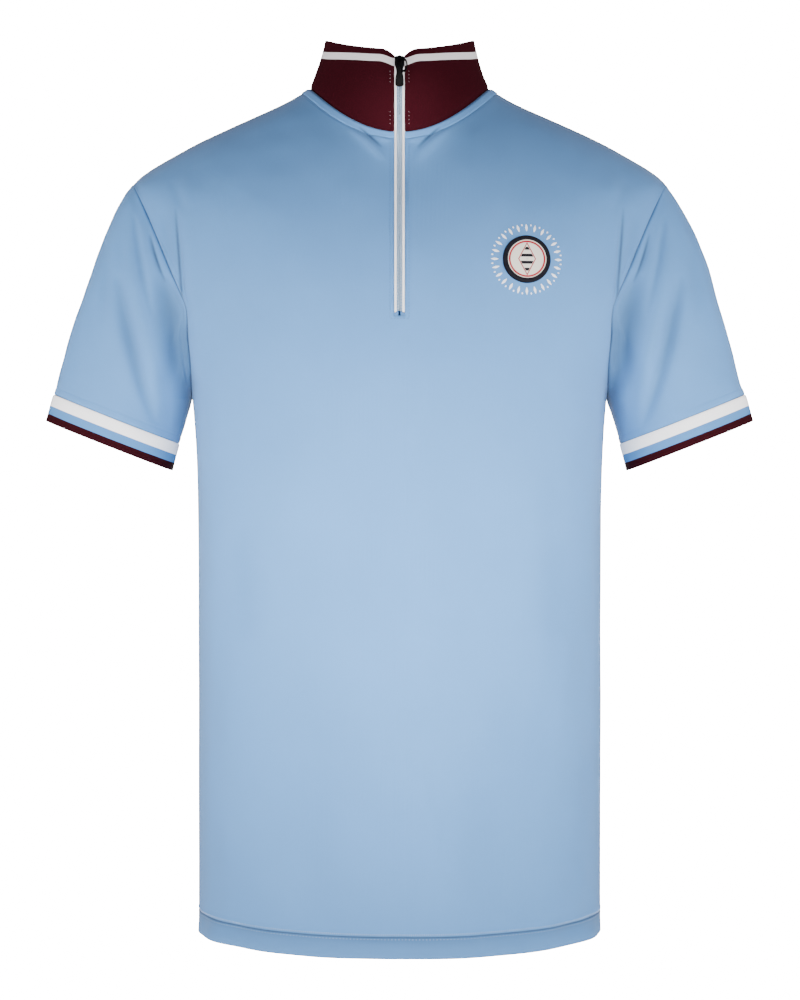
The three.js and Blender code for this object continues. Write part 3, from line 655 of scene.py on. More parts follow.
class Value:
    """One output of a material's nodes, with the arithmetic that adds Math nodes."""

    def __init__(self, finish, socket):
        self.finish = finish
        self.socket = socket

    def math(self, operation, *others):
        return self.finish.node("ShaderNodeMath", (self, *others), operation=operation)

    def __add__(self, other):
        return self.math("ADD", other)

    def __sub__(self, other):
        return self.math("SUBTRACT", other)

    def __mul__(self, other):
        return self.math("MULTIPLY", other)

    def __truediv__(self, other):
        return self.math("DIVIDE", other)

    def __neg__(self):
        return self * -1

    def __abs__(self):
        return self.math("ABSOLUTE")

    def __radd__(self, other):
        return self + other

    def __rmul__(self, other):
        return self * other

    def __rsub__(self, other):
        return -self + other

    def fraction(self):
        return self.math("FRACT")

    def larger(self, other):
        return self.math("MAXIMUM", other)

    def smaller(self, other):
        return self.math("MINIMUM", other)

    def wave(self):
        """A wave from 0 to 1 and back, once in every unit."""
        return (self * (2 * math.pi)).math("SINE") * 0.5 + 0.5

    def clamped(self):
        return self.smaller(1.0).larger(0.0)

    def above(self, place, softness):
        """0 below a place and 1 above it, over a short ramp."""
        return ((self - place) / softness + 0.5).clamped()

    def between(self, low, high, softness):
        return self.above(low, softness) * (1 - self.above(high, softness))


class Finish:
    """A procedural material on one Principled shader."""

    def __init__(self, name, **constants):
        self.material = bpy.data.materials.new(name)
        self.material.use_nodes = True
        self.tree = self.material.node_tree
        self.shader = self.tree.nodes["Principled BSDF"]
        for socket, value in constants.items():
            self.shader.inputs[socket.replace("_", " ")].default_value = value

    def node(self, kind, inputs=(), output=0, **settings):
        """One node: its settings first, then its sockets, each by order or by name."""
        node = self.tree.nodes.new(kind)
        for name, setting in settings.items():
            setattr(node, name, setting)
        items = inputs.items() if isinstance(inputs, dict) else enumerate(inputs)
        for key, value in items:
            if isinstance(value, Value):
                self.tree.links.new(value.socket, node.inputs[key])
            else:
                node.inputs[key].default_value = value
        return Value(self, node.outputs[output])

    def drive(self, socket, value):
        self.tree.links.new(value.socket, self.shader.inputs[socket])

    def cloth_place(self):
        """The distances across and down the cloth, in metres."""
        uv = self.node("ShaderNodeUVMap", uv_map="cloth")
        return [self.node("ShaderNodeSeparateXYZ", (uv,), output=axis) for axis in ("X", "Y")]

    def distances(self, title):
        """The three values of a piece's own attribute. Distances are in millimetres."""
        place = self.node("ShaderNodeAttribute", attribute_name=title, output="Vector")
        return [self.node("ShaderNodeSeparateXYZ", (place,), output=axis) for axis in ("X", "Y", "Z")]

    def noise(self, scale, detail=2.0, roughness=0.5):
        place = self.node("ShaderNodeTexCoord", output="Object")
        values = {"Vector": place, "Scale": scale, "Detail": detail, "Roughness": roughness}
        return self.node("ShaderNodeTexNoise", values)

    def blend(self, factor, first, second):
        """Colours mixed by a factor. A colour is a tuple or another mix."""
        values = {0: factor, 6: first, 7: second}
        return self.node("ShaderNodeMix", values, output=2, data_type="RGBA")

    def shades(self, factor, colour, low, high):
        """One colour at between low and high times its brightness."""
        return self.blend(factor, rgba(colour, low), rgba(colour, high))

    def roughness(self, factor, low, high):
        """A roughness between low and high. The socket keeps their middle for a plain export."""
        self.shader.inputs["Roughness"].default_value = (low + high) / 2
        self.drive("Roughness", low + factor * (high - low))

    def bump(self, height, distance, strength):
        values = {"Height": height, "Distance": distance, "Strength": strength}
        self.drive("Normal", self.node("ShaderNodeBump", values))


def rgba(colour, factor=1.0):
    return (*(min(1.0, c * factor) for c in colour[:3]), 1.0)


def knit_height(across, down, wale, course):
    """The plait of a plain knit: columns of V-shaped loops, as a height from 0 to 1."""
    lean = abs((across / wale).fraction() - 0.5)
    loop = (down / course + lean * 1.15).wave()
    crown = 1 - lean * lean * 3.6
    return crown * (loop * 0.45 + 0.55)


def knit_colour(finish, cloth):
    """The body's colour with melange fibres and the uneven tone of a dyed piece."""
    cloudy = finish.noise(9.0, 3.0, 0.55)
    fibres = finish.noise(1400.0, 1.0)
    tone = (cloudy - 0.5) * cloth.mottle * 2 + (fibres - 0.5) * cloth.melange * 2
    return finish.shades((0.5 + tone).clamped(), cloth.blue, 0.8, 1.2)


def body_knit(cloth):
    """Plain knit, with painted light on the neck's band, painted shade in the folds, under the arm, below
    the hem's line and in the grooves, and dark seam lines.
    """
    finish = Finish("body_knit", Sheen_Weight=0.1, Sheen_Roughness=0.45)
    across, down = finish.cloth_place()
    seam, neck, hem = finish.distances("edges")
    from_crease, strength, painted_hollow_shade = finish.distances("creases")
    depth = cloth.hem / MM
    # Painted light: the neck's band is drawn lighter, as the low front light falls on its upright face.
    band = neck.between(BAND_TOP + 0.4, BAND_FOOT, 0.8)
    # Painted shade below the hem's line, fading down the turned-up hem.
    under = ((hem - depth) / (cloth.hem_shade / MM)).smaller(0.0)
    shade = under.math("EXPONENT") * (1 - hem.above(depth, 0.4))
    # Dark seam lines, and painted shade in the grooves at the hem's line and the neck's stitches and along
    # tight creases.
    seam_and_crease_shade = (1 - seam.above(0.5, 0.8)) * 0.75
    seam_and_crease_shade = seam_and_crease_shade.larger(hem.between(depth - 0.7, depth + 0.5, 0.6))
    seam_and_crease_shade = seam_and_crease_shade.larger(neck.between(NECK_STITCHES - 0.3, NECK_STITCHES + 0.3, 0.4) * 0.5)
    seam_and_crease_shade = seam_and_crease_shade.larger((1 - abs(from_crease).above(1.0, 1.6)) * strength)
    colour = knit_colour(finish, cloth)
    for mask, brightness in (
        (band * cloth.band, 1.6),
        # Painted shade in the folds' hollows and under the arm.
        (painted_hollow_shade * cloth.painted_hollow_shade, 0.4),
        (shade * 0.6, 0.3),
        (seam_and_crease_shade * cloth.seam_and_crease_shade, 0.22),
    ):
        colour = finish.blend(mask, colour, rgba(cloth.blue, brightness))
    finish.drive("Base Color", colour)
    fuzz = finish.noise(2600.0, 2.0, 0.6)
    finish.bump(knit_height(across, down, cloth.wale, cloth.course) + fuzz * 0.5, cloth.relief, 0.55)
    finish.roughness(fuzz, 0.78, 0.9)
    return finish.material


def rib_finish(name, cloth, bands, ground):
    """A fine rib in bands of colour, each from one distance down the cloth to another."""
    finish = Finish(name, Specular_IOR_Level=0.06)
    across, down = finish.cloth_place()
    fibres = finish.noise(1500.0)
    colour = finish.shades(fibres, ground, 0.75, 1.25)
    for low, high, band in bands:
        place = (down * -1).between(low * MM, high * MM, 0.25 * MM)
        colour = finish.blend(place, colour, finish.shades(fibres, band, 0.94, 1.06))
    finish.drive("Base Color", colour)
    rib, course = (across / cloth.rib).wave(), (down / cloth.course).wave()
    finish.bump(rib * 0.8 + course * 0.25 + fibres * 0.2, cloth.relief, 0.5)
    finish.roughness(fibres, 0.8, 0.92)
    return finish.material


def smooth_cloth(name, colour, cloth, cord):
    """A plain fine weave or folded knit in one colour, with slanting cords."""
    finish = Finish(name, Sheen_Weight=0.1, Sheen_Roughness=0.4)
    across, down = finish.cloth_place()
    fibres = finish.noise(1800.0)
    finish.drive("Base Color", finish.shades(fibres, colour, 0.9, 1.08))
    slant = ((across + down) / cord).wave()
    finish.bump(slant * 0.6 + fibres * 0.4, cloth.relief * 0.6, 0.5)
    finish.roughness(fibres, 0.64, 0.79)
    return finish.material


def thread(name, colour):
    """Sewing thread with a slight gloss and twist."""
    finish = Finish(name, Sheen_Weight=0.1)
    twist = finish.noise(5200.0, 1.0)
    finish.drive("Base Color", finish.shades(twist, colour, 0.82, 1.12))
    finish.roughness(twist, 0.42, 0.62)
    return finish.material


def nylon(name, colour):
    finish = Finish(name, Specular_IOR_Level=0.45)
    grain = finish.noise(900.0)
    finish.drive("Base Color", finish.shades(grain, colour, 0.88, 1.08))
    finish.roughness(grain, 0.3, 0.44)
    return finish.material


def black_enamel(zip_props):
    """Enamelled metal with rubbed, slightly lighter patches."""
    finish = Finish("black_enamel", Specular_IOR_Level=0.03)
    rubs = finish.noise(420.0, 4.0, 0.65)
    finish.drive("Base Color", finish.shades(rubs.above(0.56, 0.2), zip_props.metal, 0.5, 1.4))
    finish.roughness(rubs, 0.3, 0.52)
    finish.bump(finish.noise(260.0, 3.0), 0.00006, 0.4)
    return finish.material


def badge_cloth(badge):
    """Satin-stitched zones by distance from the badge's middle, with a plain lozenge in the field."""
    finish = Finish("badge_embroidery", Specular_IOR_Level=0.12)
    across, up = (part / badge.radius for part in finish.cloth_place())
    distance = (across * across + up * up).math("SQRT")
    lozenge = abs(across) * 1.9 + abs(up)
    bars = (abs(up) / 0.3).fraction().between(0.3, 0.72, 0.06)
    fibres = finish.noise(2400.0)
    colour = finish.shades(fibres, badge.field, 0.9, 1.06)
    for mask, zone in (
        (lozenge.between(0.1, 0.62, 0.02) * bars, badge.border),
        (lozenge.between(0.64, 0.73, 0.02), badge.ring),
        (distance.between(0.71, 0.79, 0.015), badge.ring),
        (distance.above(0.845, 0.015), badge.border),
    ):
        colour = finish.blend(mask, colour, rgba(zone))
    finish.drive("Base Color", colour)
    satin = (up.math("ARCTAN2", across) * (95 / math.pi)).wave()
    twill = ((across + up) * (badge.radius / 0.0007)).wave()
    rim = distance.above(0.84, 0.02)
    finish.bump(satin * rim + twill * (1 - rim) * 0.6, 0.00018, 0.7)
    finish.roughness(fibres, 0.5, 0.65)
    return finish.material


def stage_paint(name, colour):
    finish = Finish(name, Roughness=0.9)
    finish.drive("Base Color", finish.shades(finish.noise(3.0), colour, 0.99, 1.0))
    return finish.material


# Sewing

# Where a probe for the cloth starts outside it and how long it is, and how high a stitch's middle lies.
PROBE_START, PROBE_LENGTH, STITCH_LIFT = 12, 30, 0.12


class Surface:
    """The nearest points of a finished piece, for what is sewn on it."""

    def __init__(self, piece):
        points = [v.co.copy() for v in piece.data.vertices]
        self.tree = BVHTree.FromPolygons(points, [list(p.vertices) for p in piece.data.polygons])

    def near(self, points, outwards):
        """Points and normals on the face that looks along outwards, in millimetres."""
        places, normals = [], []
        for point, normal in zip(points, outwards):
            start = Vector((point + normal * PROBE_START) * MM)
            hit, face, _, _ = self.tree.ray_cast(start, Vector(-normal), PROBE_LENGTH * MM)
            if hit is None:
                hit, face, _, _ = self.tree.find_nearest(Vector(point * MM))
            places.append(np.array(hit) / MM)
            normals.append(np.array(face))
        normals = np.array(normals)
        flip = np.sign(np.sum(normals * outwards, -1, keepdims=True))
        return np.array(places), normals * flip


def template(kind="stitch"):
    """Points and faces of one small rounded body, a unit long each way, along X."""
    bpy.ops.object.select_all(action="DESELECT")
    bpy.ops.mesh.primitive_uv_sphere_add(segments=7 if kind == "stitch" else 8, ring_count=6, radius=0.5)
    obj = bpy.context.object
    points = np.array([v.co for v in obj.data.vertices])[:, [2, 0, 1]]
    faces = sorted(list(p.vertices) for p in obj.data.polygons)
    bpy.data.meshes.remove(obj.data)
    if kind == "stitch":
        points[:, 2] -= 0.9 * points[:, 0] ** 2
    if kind == "leaf":
        points[:, 1] *= 1 - np.abs(points[:, 0]) * 0.9
    return points, faces


def repeated(name, shape, places, along, normals, size):
    """Copies of a small body, each along its line and standing on its surface."""
    points, faces = shape
    side = unit(np.cross(normals, along))
    basis = np.stack([unit(np.cross(side, normals)), side, normals], 1)
    body = (places[:, None] + points * np.array(size) @ basis).reshape(-1, 3)
    copies = [[i + k * len(points) for i in face] for k in range(len(places)) for face in faces]
    obj = mesh_piece(name, body, copies, body[:, [0, 2]] * MM)
    smooth(obj)
    return obj


def stitch_row(line, outwards, surface, pitch):
    """Places, directions and normals of the stitches of one row along a line."""
    run = running_length(line)
    count = max(2, int(run[-1] / pitch))
    places = (np.arange(count) + 0.5) * run[-1] / count
    points, normals = surface.near(resampled(line, places, run), unit(resampled(outwards, places, run)))
    along = unit(np.gradient(points, axis=0))
    return points + normals * STITCH_LIFT, along, normals


def sew(name, rows, finish, size):
    """One piece holding all the stitches of the given rows."""
    places, along, normals = (np.concatenate(part) for part in zip(*rows))
    dress(repeated(name, template(), places, along, normals, size), finish)


# Pieces

# What is already made and is needed again: pieces with their grids, and the body's knit.
BUILT = {}


def shared_knit(cloth):
    """The body's knit, made for the first piece that asks for it."""
    if "knit" not in BUILT:
        BUILT["knit"] = body_knit(cloth)
    return BUILT["knit"]


def panel_angles(side):
    """The angles of a panel's columns at every level, between its seams and round the zip's slot."""
    edge = edge_angle(side, LEVELS)[:, None]
    half = np.linspace(0, 1, HALF_COLUMNS + 1)
    if side == BACK:
        right = mix(0, edge, half)
        return np.concatenate([right[:, ::-1], -right[:, 1:]], 1)
    slot = angle_at_x(LEVELS, ZIP_SLOT)[:, None]
    right = mix(slot, edge, half)
    return np.concatenate([-right[:, ::-1], slot * np.linspace(-1, 1, 5)[1:-1], right], 1)


def panel_columns(side):
    """Where a panel's final columns lie among its first ones: closer by the seams and the zip."""
    half = close_places(HALF_COLUMNS, 2, 6, 2, 4)
    if side == BACK:
        half = half[half >= 2]
    middle = (1, 2, 3) if side == FRONT else (-1, 0, 1)
    start = HALF_COLUMNS + 4 if side == FRONT else HALF_COLUMNS
    return np.concatenate([HALF_COLUMNS - half[::-1], HALF_COLUMNS + np.array(middle), start + half])


def both_edges(column, side):
    """A panel's first and last columns, from the one by the +X armhole."""
    return (column, mirrored(column)) if side == BACK else (mirrored(column), column)


def panel_form(side):
    """A front or back panel before it is sewn, with its outward normals."""
    grid = body_form(side, panel_angles(side), LEVELS[:, None])
    arm = slice(YOKE_ROWS, YOKE_ROWS + ARMHOLE_ROWS + 1)
    ring = side * np.arange(ARMHOLE_ROWS + 1)
    grid[arm, 0], grid[arm, -1] = both_edges(ARM.points[ring], side)
    grid = relaxed(grid, 50)
    if side == FRONT:
        middle = grid.shape[1] // 2
        for column in (middle - 2, middle + 2):
            grid[:, column, 0] = np.sign(grid[:, column, 0]) * ZIP_SLOT
    grid = respaced(grid, panel_columns(side), 1)
    normals = grid_normals(grid)
    normals[arm, 0], normals[arm, -1] = both_edges(ARM.mitre[ring], side)
    rows = close_places(len(grid) - 1, 15, 6, 2, 7)
    return respaced(grid, rows), unit(respaced(normals, rows))


def panel_grid(side, cloth):
    """A panel's face with its seams, neck band, hem and folds, and each point's place on it."""
    grid, normals = panel_form(side)
    down = running_length(grid, 0)
    up = down[-1:] - down
    run = running_length(grid, 1)
    from_seam = np.minimum(run, run[:, -1:] - run)
    inward = fold_depth(FRONT_FOLDS if side == FRONT else BACK_FOLDS, grid) * faded(down, 8)
    waves = ripples(grid, 11 + side, cloth.ripple / MM, 55, 190)
    waves += ripples(grid, 31 + side, cloth.ripple / MM * 0.22, 18, 45)
    inward += waves * (faded(down, 26) * faded(up, 14, 0.35)) * faded(from_seam, 60, 0.15)
    if side == FRONT:
        beside_zip = faded(np.abs(grid[..., 0]) - 5.5, 4)
        inward *= np.where(grid[..., 2] > ZIP_END - 10, beside_zip, 1)
    inward *= faded(from_seam, 4)
    inward += groove(from_seam, cloth.seam_depth / MM, SEAM_WIDTH) + grooves(down, NECK_GROOVES)
    inward -= BAND_RISE * step_up(down, BAND_TOP, 0.3) * (1 - step_up(down, BAND_FOOT, 0.25))
    hem = cloth.hem / MM
    puckers = ripples(grid * np.array((1, 1, 0)), 47 + side, 1.2, 22, 80)
    turned = grooves(up - hem, HEM_GROOVES) + puckers * (1 - step_up(up, hem - 1, 1.5))
    inward += turned * faded(from_seam - 6, 30)
    return grid - normals * inward[..., None], normals, down, up, from_seam


def with_turnings(grid, normals, uv, edges, hem):
    """The panel with its seam allowances turned in at the sides and neck, and its hem turned up."""

    def padded(columns):
        return np.concatenate([columns[:, :1], columns, columns[:, -1:]], 1)

    wide, wide_normals = padded(grid), padded(normals)
    wide[:, [0, -1]] -= wide_normals[:, [0, -1]] * TURNING
    wide_uv = padded(np.concatenate([uv, edges], 2))
    rows, row_uv = [wide[:1] - wide_normals[:1] * TURNING, wide], [wide_uv[:1], wide_uv]
    for angle in np.linspace(0, np.pi, 6)[1:]:
        drop = np.array((0, 0, -1)) * HEM_ROLL * math.sin(angle)
        rows.append(wide[-1:] - wide_normals[-1:] * HEM_ROLL * (1 - math.cos(angle)) + drop)
        row_uv.append(wide_uv[-1:])
    inside = [row for row in range(len(grid) - 2, 0, -1) if grid[row, 0, 2] < grid[-1, 0, 2] + hem + 1]
    rows.append(wide[inside] - wide_normals[inside] * 2 * HEM_ROLL)
    row_uv.append(wide_uv[inside])
    row_uv = np.concatenate(row_uv)
    return np.concatenate(rows), row_uv[..., :2], row_uv[..., 2:]


class POLO_OT_panels(bpy.types.Operator):
    """Knitted front and back panels, with the front open for the zip"""

    bl_idname = "polo.panels"
    bl_label = "Front and back"

    def execute(self, context):
        cloth = context.scene.polo_cloth
        for side, name in ((FRONT, "front"), (BACK, "back")):
            grid, normals, down, up, from_seam = panel_grid(side, cloth)
            middle = grid.shape[1] // 2
            creases = tight_creases(FRONT_FOLDS if side == FRONT else (), grid)
            edges = np.stack([from_seam, down, up, *creases], -1)
            full, uv, edges = with_turnings(grid, normals, cloth_uv(grid, middle), edges, cloth.hem / MM)
            skip = None
            if side == FRONT:
                skip = np.zeros((full.shape[0] - 1, full.shape[1] - 1), bool)
                above = np.sum(grid[:, middle, 2] > ZIP_END - 0.8)
                skip[: above + 1, middle - 1 : middle + 3] = True
            panel = shell(name + "_panel", full, uv, cloth.wall, skip=skip, edges=edges)
            area = grid_area(grid) + HEM_LENGTH * cloth.hem
            finish_cloth(panel, shared_knit(cloth), name, area)
            BUILT[name] = {"grid": grid, "normals": normals, "down": down, "up": up, "piece": panel}
        return {"FINISHED"}


class POLO_OT_sleeves(bpy.types.Operator):
    """Set-in short sleeves with their creases from the underarm"""

    bl_idname = "polo.sleeves"
    bl_label = "Sleeves"

    def execute(self, context):
        cloth = context.scene.polo_cloth
        grid, normals, forward, facing = self.form()
        front, back = forward < 0, forward > 0
        down = running_length(grid, 0)
        up = down[-1:] - down
        run = running_length(grid, 1)
        under = np.abs(run - run[:, 2 * ARMHOLE_ROWS : 2 * ARMHOLE_ROWS + 1])
        inward = np.clip(fold_depth(SLEEVE_FRONT_FOLDS, grid), -DEEPEST, DEEPEST) * front
        inward += np.clip(fold_depth(SLEEVE_BACK_FOLDS, grid), -DEEPEST, DEEPEST) * back
        inward *= np.minimum(1, facing * 1.6) * faded(down, 5) * faded(up, 10)
        inward += groove(down, cloth.seam_depth / MM, SEAM_WIDTH) + grooves(up, CUFF_GROOVES)
        inward -= 0.25 * (1 - step_up(up, 6, 0.4))
        inward += groove(under, cloth.seam_depth / MM, SEAM_WIDTH) * faded(down, 6)
        edges = self.edges(grid, np.minimum(np.minimum(down, under), up), front)
        fading = faded(down, 10) * faded(up, 10)
        for side, name in SIDES:
            placed = grid * np.array((side, 1, 1))
            wave = ripples(placed, 71 + side, cloth.ripple / MM * 0.8, 40, 120)
            wave += ripples(placed, 91 + side, cloth.ripple / MM * 0.2, 16, 40)
            face = grid - normals * (inward + wave * fading)[..., None]
            top, end = face[:1] - normals[:1] * TURNING, face[-1:] - normals[-1:] * CUFF_TURNING
            columns = [np.concatenate([top, face, end]), self.ended(cloth_uv(face, 2 * ARMHOLE_ROWS)), edges]
            if side < 0:
                columns = [part[:, ::-1] for part in (mirrored(columns[0]), *columns[1:])]
            full, uv, distances = columns
            piece = shell(f"sleeve_{name}_cloth", full, uv, cloth.wall, ring=True, edges=distances)
            area = grid_area(face, ring=True)
            finish_cloth(piece, shared_knit(cloth), f"sleeve_{name}", area)
        return {"FINISHED"}

    def form(self):
        """The +X sleeve's grid and normals, and which way and how squarely each column faces."""
        grid = relaxed(sleeve_form(np.linspace(0, 1, SLEEVE_ROWS + 1)), 20, ring=True)
        grid = between_columns(respaced(grid, close_places(SLEEVE_ROWS, 3, 4, 3, 3)))
        normals = grid_normals(grid, ring=True)
        normals[0] = unit(between_columns(ARM.mitre[None])[0])
        facing = between_columns(np.sin(ARM.turn)[None, :, None])[..., 0]
        return grid, normals, np.repeat(ARM.forward, 2), facing

    def edges(self, grid, from_seam, front):
        """The distances and creases for the knit, with a soft shade in the underarm."""
        distance, strength, painted_hollow_shade = tight_creases(SLEEVE_FRONT_FOLDS, grid)
        # Painted shade: the sleeve's underarm beside the body is drawn darker, as well as the folds'
        # hollows.
        underarm = faded(SHADE_X - grid[..., 0], 12) * faded(SHADE_Z - grid[..., 2], 45)
        painted_hollow_shade = np.maximum(painted_hollow_shade, underarm)
        far = np.full_like(distance, FAR)
        return self.ended(np.stack([from_seam, far, far, distance, strength * front, painted_hollow_shade * front], -1))

    def ended(self, rows):
        """Rows with the first and last doubled, for the cloth turned in at the sleeve's ends."""
        return np.concatenate([rows[:1], rows, rows[-1:]])


class POLO_OT_cuffs(bpy.types.Operator):
    """Striped rib cuffs on the sleeves' ends"""

    bl_idname = "polo.cuffs"
    bl_label = "Cuffs"

    def execute(self, context):
        cloth = context.scene.polo_cloth
        white, blue = cloth.cuff_white / MM, cloth.cuff_blue / MM
        bands = ((0, white, cloth.white), (white, white + blue, rgba(cloth.blue, 0.9)))
        # Painted shade: the cuffs' ground is the collar's burgundy drawn darker, against the stronger light
        # on the sleeves.
        ground = rgba(cloth.burgundy, 0.64)
        striped = rib_finish("cuff_rib", cloth, bands, ground)
        depths = np.linspace(CUFF_DEPTH, 0, 16)
        face = np.stack([cuff_form(depth, 0.35 - groove(depth - CUFF_DEPTH, 0.5, 1.2)) for depth in depths])
        normals = grid_normals(face, ring=True)
        face = face - normals * ripples(face, 5, 0.35, 30, 90)[..., None]
        uv = cloth_uv(face, ARMHOLE_ROWS)
        area = grid_area(face, ring=True)
        for side, name in SIDES:
            grid, cut = (face, uv) if side > 0 else (mirrored(face)[:, ::-1], uv[:, ::-1])
            piece = shell(f"cuff_{name}_rib", grid, cut, CUFF_WALL, ring=True)
            rounded(piece, 0.0006, 0.9)
            smooth(piece)
            finish_cloth(piece, striped, f"cuff_{name}", area)
        return {"FINISHED"}


class POLO_OT_collar(bpy.types.Operator):
    """Stand collar in fine rib with one white stripe"""

    bl_idname = "polo.collar"
    bl_label = "Collar"

    def execute(self, context):
        cloth = context.scene.polo_cloth
        heights = np.concatenate([np.linspace(1, 0.8, 13)[:-1], np.linspace(0.8, 0, 26)])[:, None]
        narrow = faded(heights - 0.86, 0.14) ** 2
        start = np.arcsin(mix(ZIP_SLOT, ZIP_TOP, narrow) / collar_half_x(heights))
        turns = mix(start, 2 * np.pi - start, np.linspace(0, 1, 261))
        grid = collar_form(turns, heights)
        normals = grid_normals(grid)
        down = running_length(grid, 0)
        up = down[-1:] - down
        wave = ripples(grid, 3, 0.5, 35, 110) * faded(up, 12) + groove(up, 0.9, 2.0)
        grid = grid - normals * wave[..., None]
        uv = cloth_uv(grid, 0)
        out = np.where(np.cos(turns) < 0, FAR, np.abs(grid[..., 0]))
        uv[..., 1] += stripe_at(np.minimum(out, STRIPE_LEVEL_X))["drop"] * MM
        bands = ((0, cloth.stripe / MM, cloth.white),)
        striped = rib_finish("collar_rib", cloth, bands, cloth.burgundy)
        foot = grid[-1:] - normals[-1:] * 0.6 - np.array((0, 0, 2.4))
        full, full_uv = np.concatenate([grid, foot]), np.concatenate([uv, uv[-1:]])
        piece = shell("collar_rib", full, full_uv, COLLAR_WALL)
        rounded(piece, 0.0007, 0.9)
        smooth(piece)
        finish_cloth(piece, striped, "collar", grid_area(grid))
        BUILT["collar"] = {"piece": piece}
        return {"FINISHED"}


# Zip

# How many rows a strip has, and the spacing of the points on a line beside the zip.
STRIP_ROWS, LINE_STEP = 150, 1.5


def zip_sheet(x, end):
    """The line beside the zip at a distance x from the middle, from the rim down, and its normals."""
    heights = np.linspace(1, 0.01, 50)
    collar = collar_form(np.arcsin(np.abs(x) / collar_half_x(heights)), heights)
    levels = np.linspace(0.08, 8, 240)
    body = body_form(FRONT, angle_at_x(levels, abs(x)), levels)
    line = np.concatenate([collar, body[body[:, 2] > end]])
    run = running_length(line)
    line = resampled(line, np.arange(0, run[-1], LINE_STEP), run)
    for _ in range(10):
        line[1:-1] += 0.5 * ((line[:-2] + line[2:]) / 2 - line[1:-1])
    tangent = unit(np.gradient(line, axis=0))
    normals = unit(np.cross(tangent, np.array((1, 0, 0))))
    line[:, 0] *= math.copysign(1, x)
    return line, normals * -np.sign(normals[:, 1:2])


def zip_strip(name, section, side, top, end):
    """A closed strip down the zip from a section of (x, lift) corners, and its flat size."""
    corners = []
    for x, lift in section:
        line, normals = zip_sheet(x * side, end)
        run = running_length(line)
        places = np.linspace(top, run[-1], STRIP_ROWS)
        corners.append(resampled(line, places, run) + resampled(normals, places, run) * lift)
    grid = np.stack(corners, 1)
    if side < 0:
        grid = grid[:, ::-1]
    rows, columns = grid.shape[:2]
    faces = grid_faces(rows, columns, ring=True)
    faces += [list(range(columns)), list(range(rows * columns - 1, (rows - 1) * columns - 1, -1))]
    down = np.repeat(running_length(grid.mean(1))[:, None], columns, 1)
    around = np.repeat(running_length(grid[0])[None], rows, 0)
    uv = np.stack([around, -down], -1).reshape(-1, 2) * MM
    obj = mesh_piece(name, grid.reshape(-1, 3), faces, uv)
    with edited(obj):
        bpy.ops.mesh.normals_make_consistent(inside=False)
    bpy.ops.object.shade_smooth_by_angle(angle=1.0)
    return obj, (float(around[0, -1]) / 2 * MM, float(down[-1, 0]) * MM)


# The strips' sections: how far out from the zip's middle each corner is, and its lift off the cloth.
PIPING_SECTION = (
    (2.3, -1.9),
    (2.25, -0.4),
    (2.45, 0.35),
    (2.9, 0.75),
    (3.4, 0.75),
    (3.95, 0.4),
    (4.25, -0.3),
    (4.3, -1.7),
    (9.8, -2.5),
    (9.8, -2.9),
    (4.0, -2.6),
)
TAPE_SECTION = ((0.9, -3.9), (0.9, -3.3), (6.0, -3.2), (13.0, -3.3), (13.0, -3.9), (6.0, -3.85))

# Where the tapes start below the rim and how far they run past the zip, and the same for the pipings.
TAPE_START, TAPE_TAIL, PIPING_START = 5, 9, 0.6

# The coil's turns: how far out and how deep their middles lie, where they start, and their size.
COIL_OUT, COIL_LIFT, COIL_START = 1.08, -1.5, 5.5
COIL_WIDTH, COIL_SHARE, COIL_HEIGHT = 2.5, 0.8, 1.9


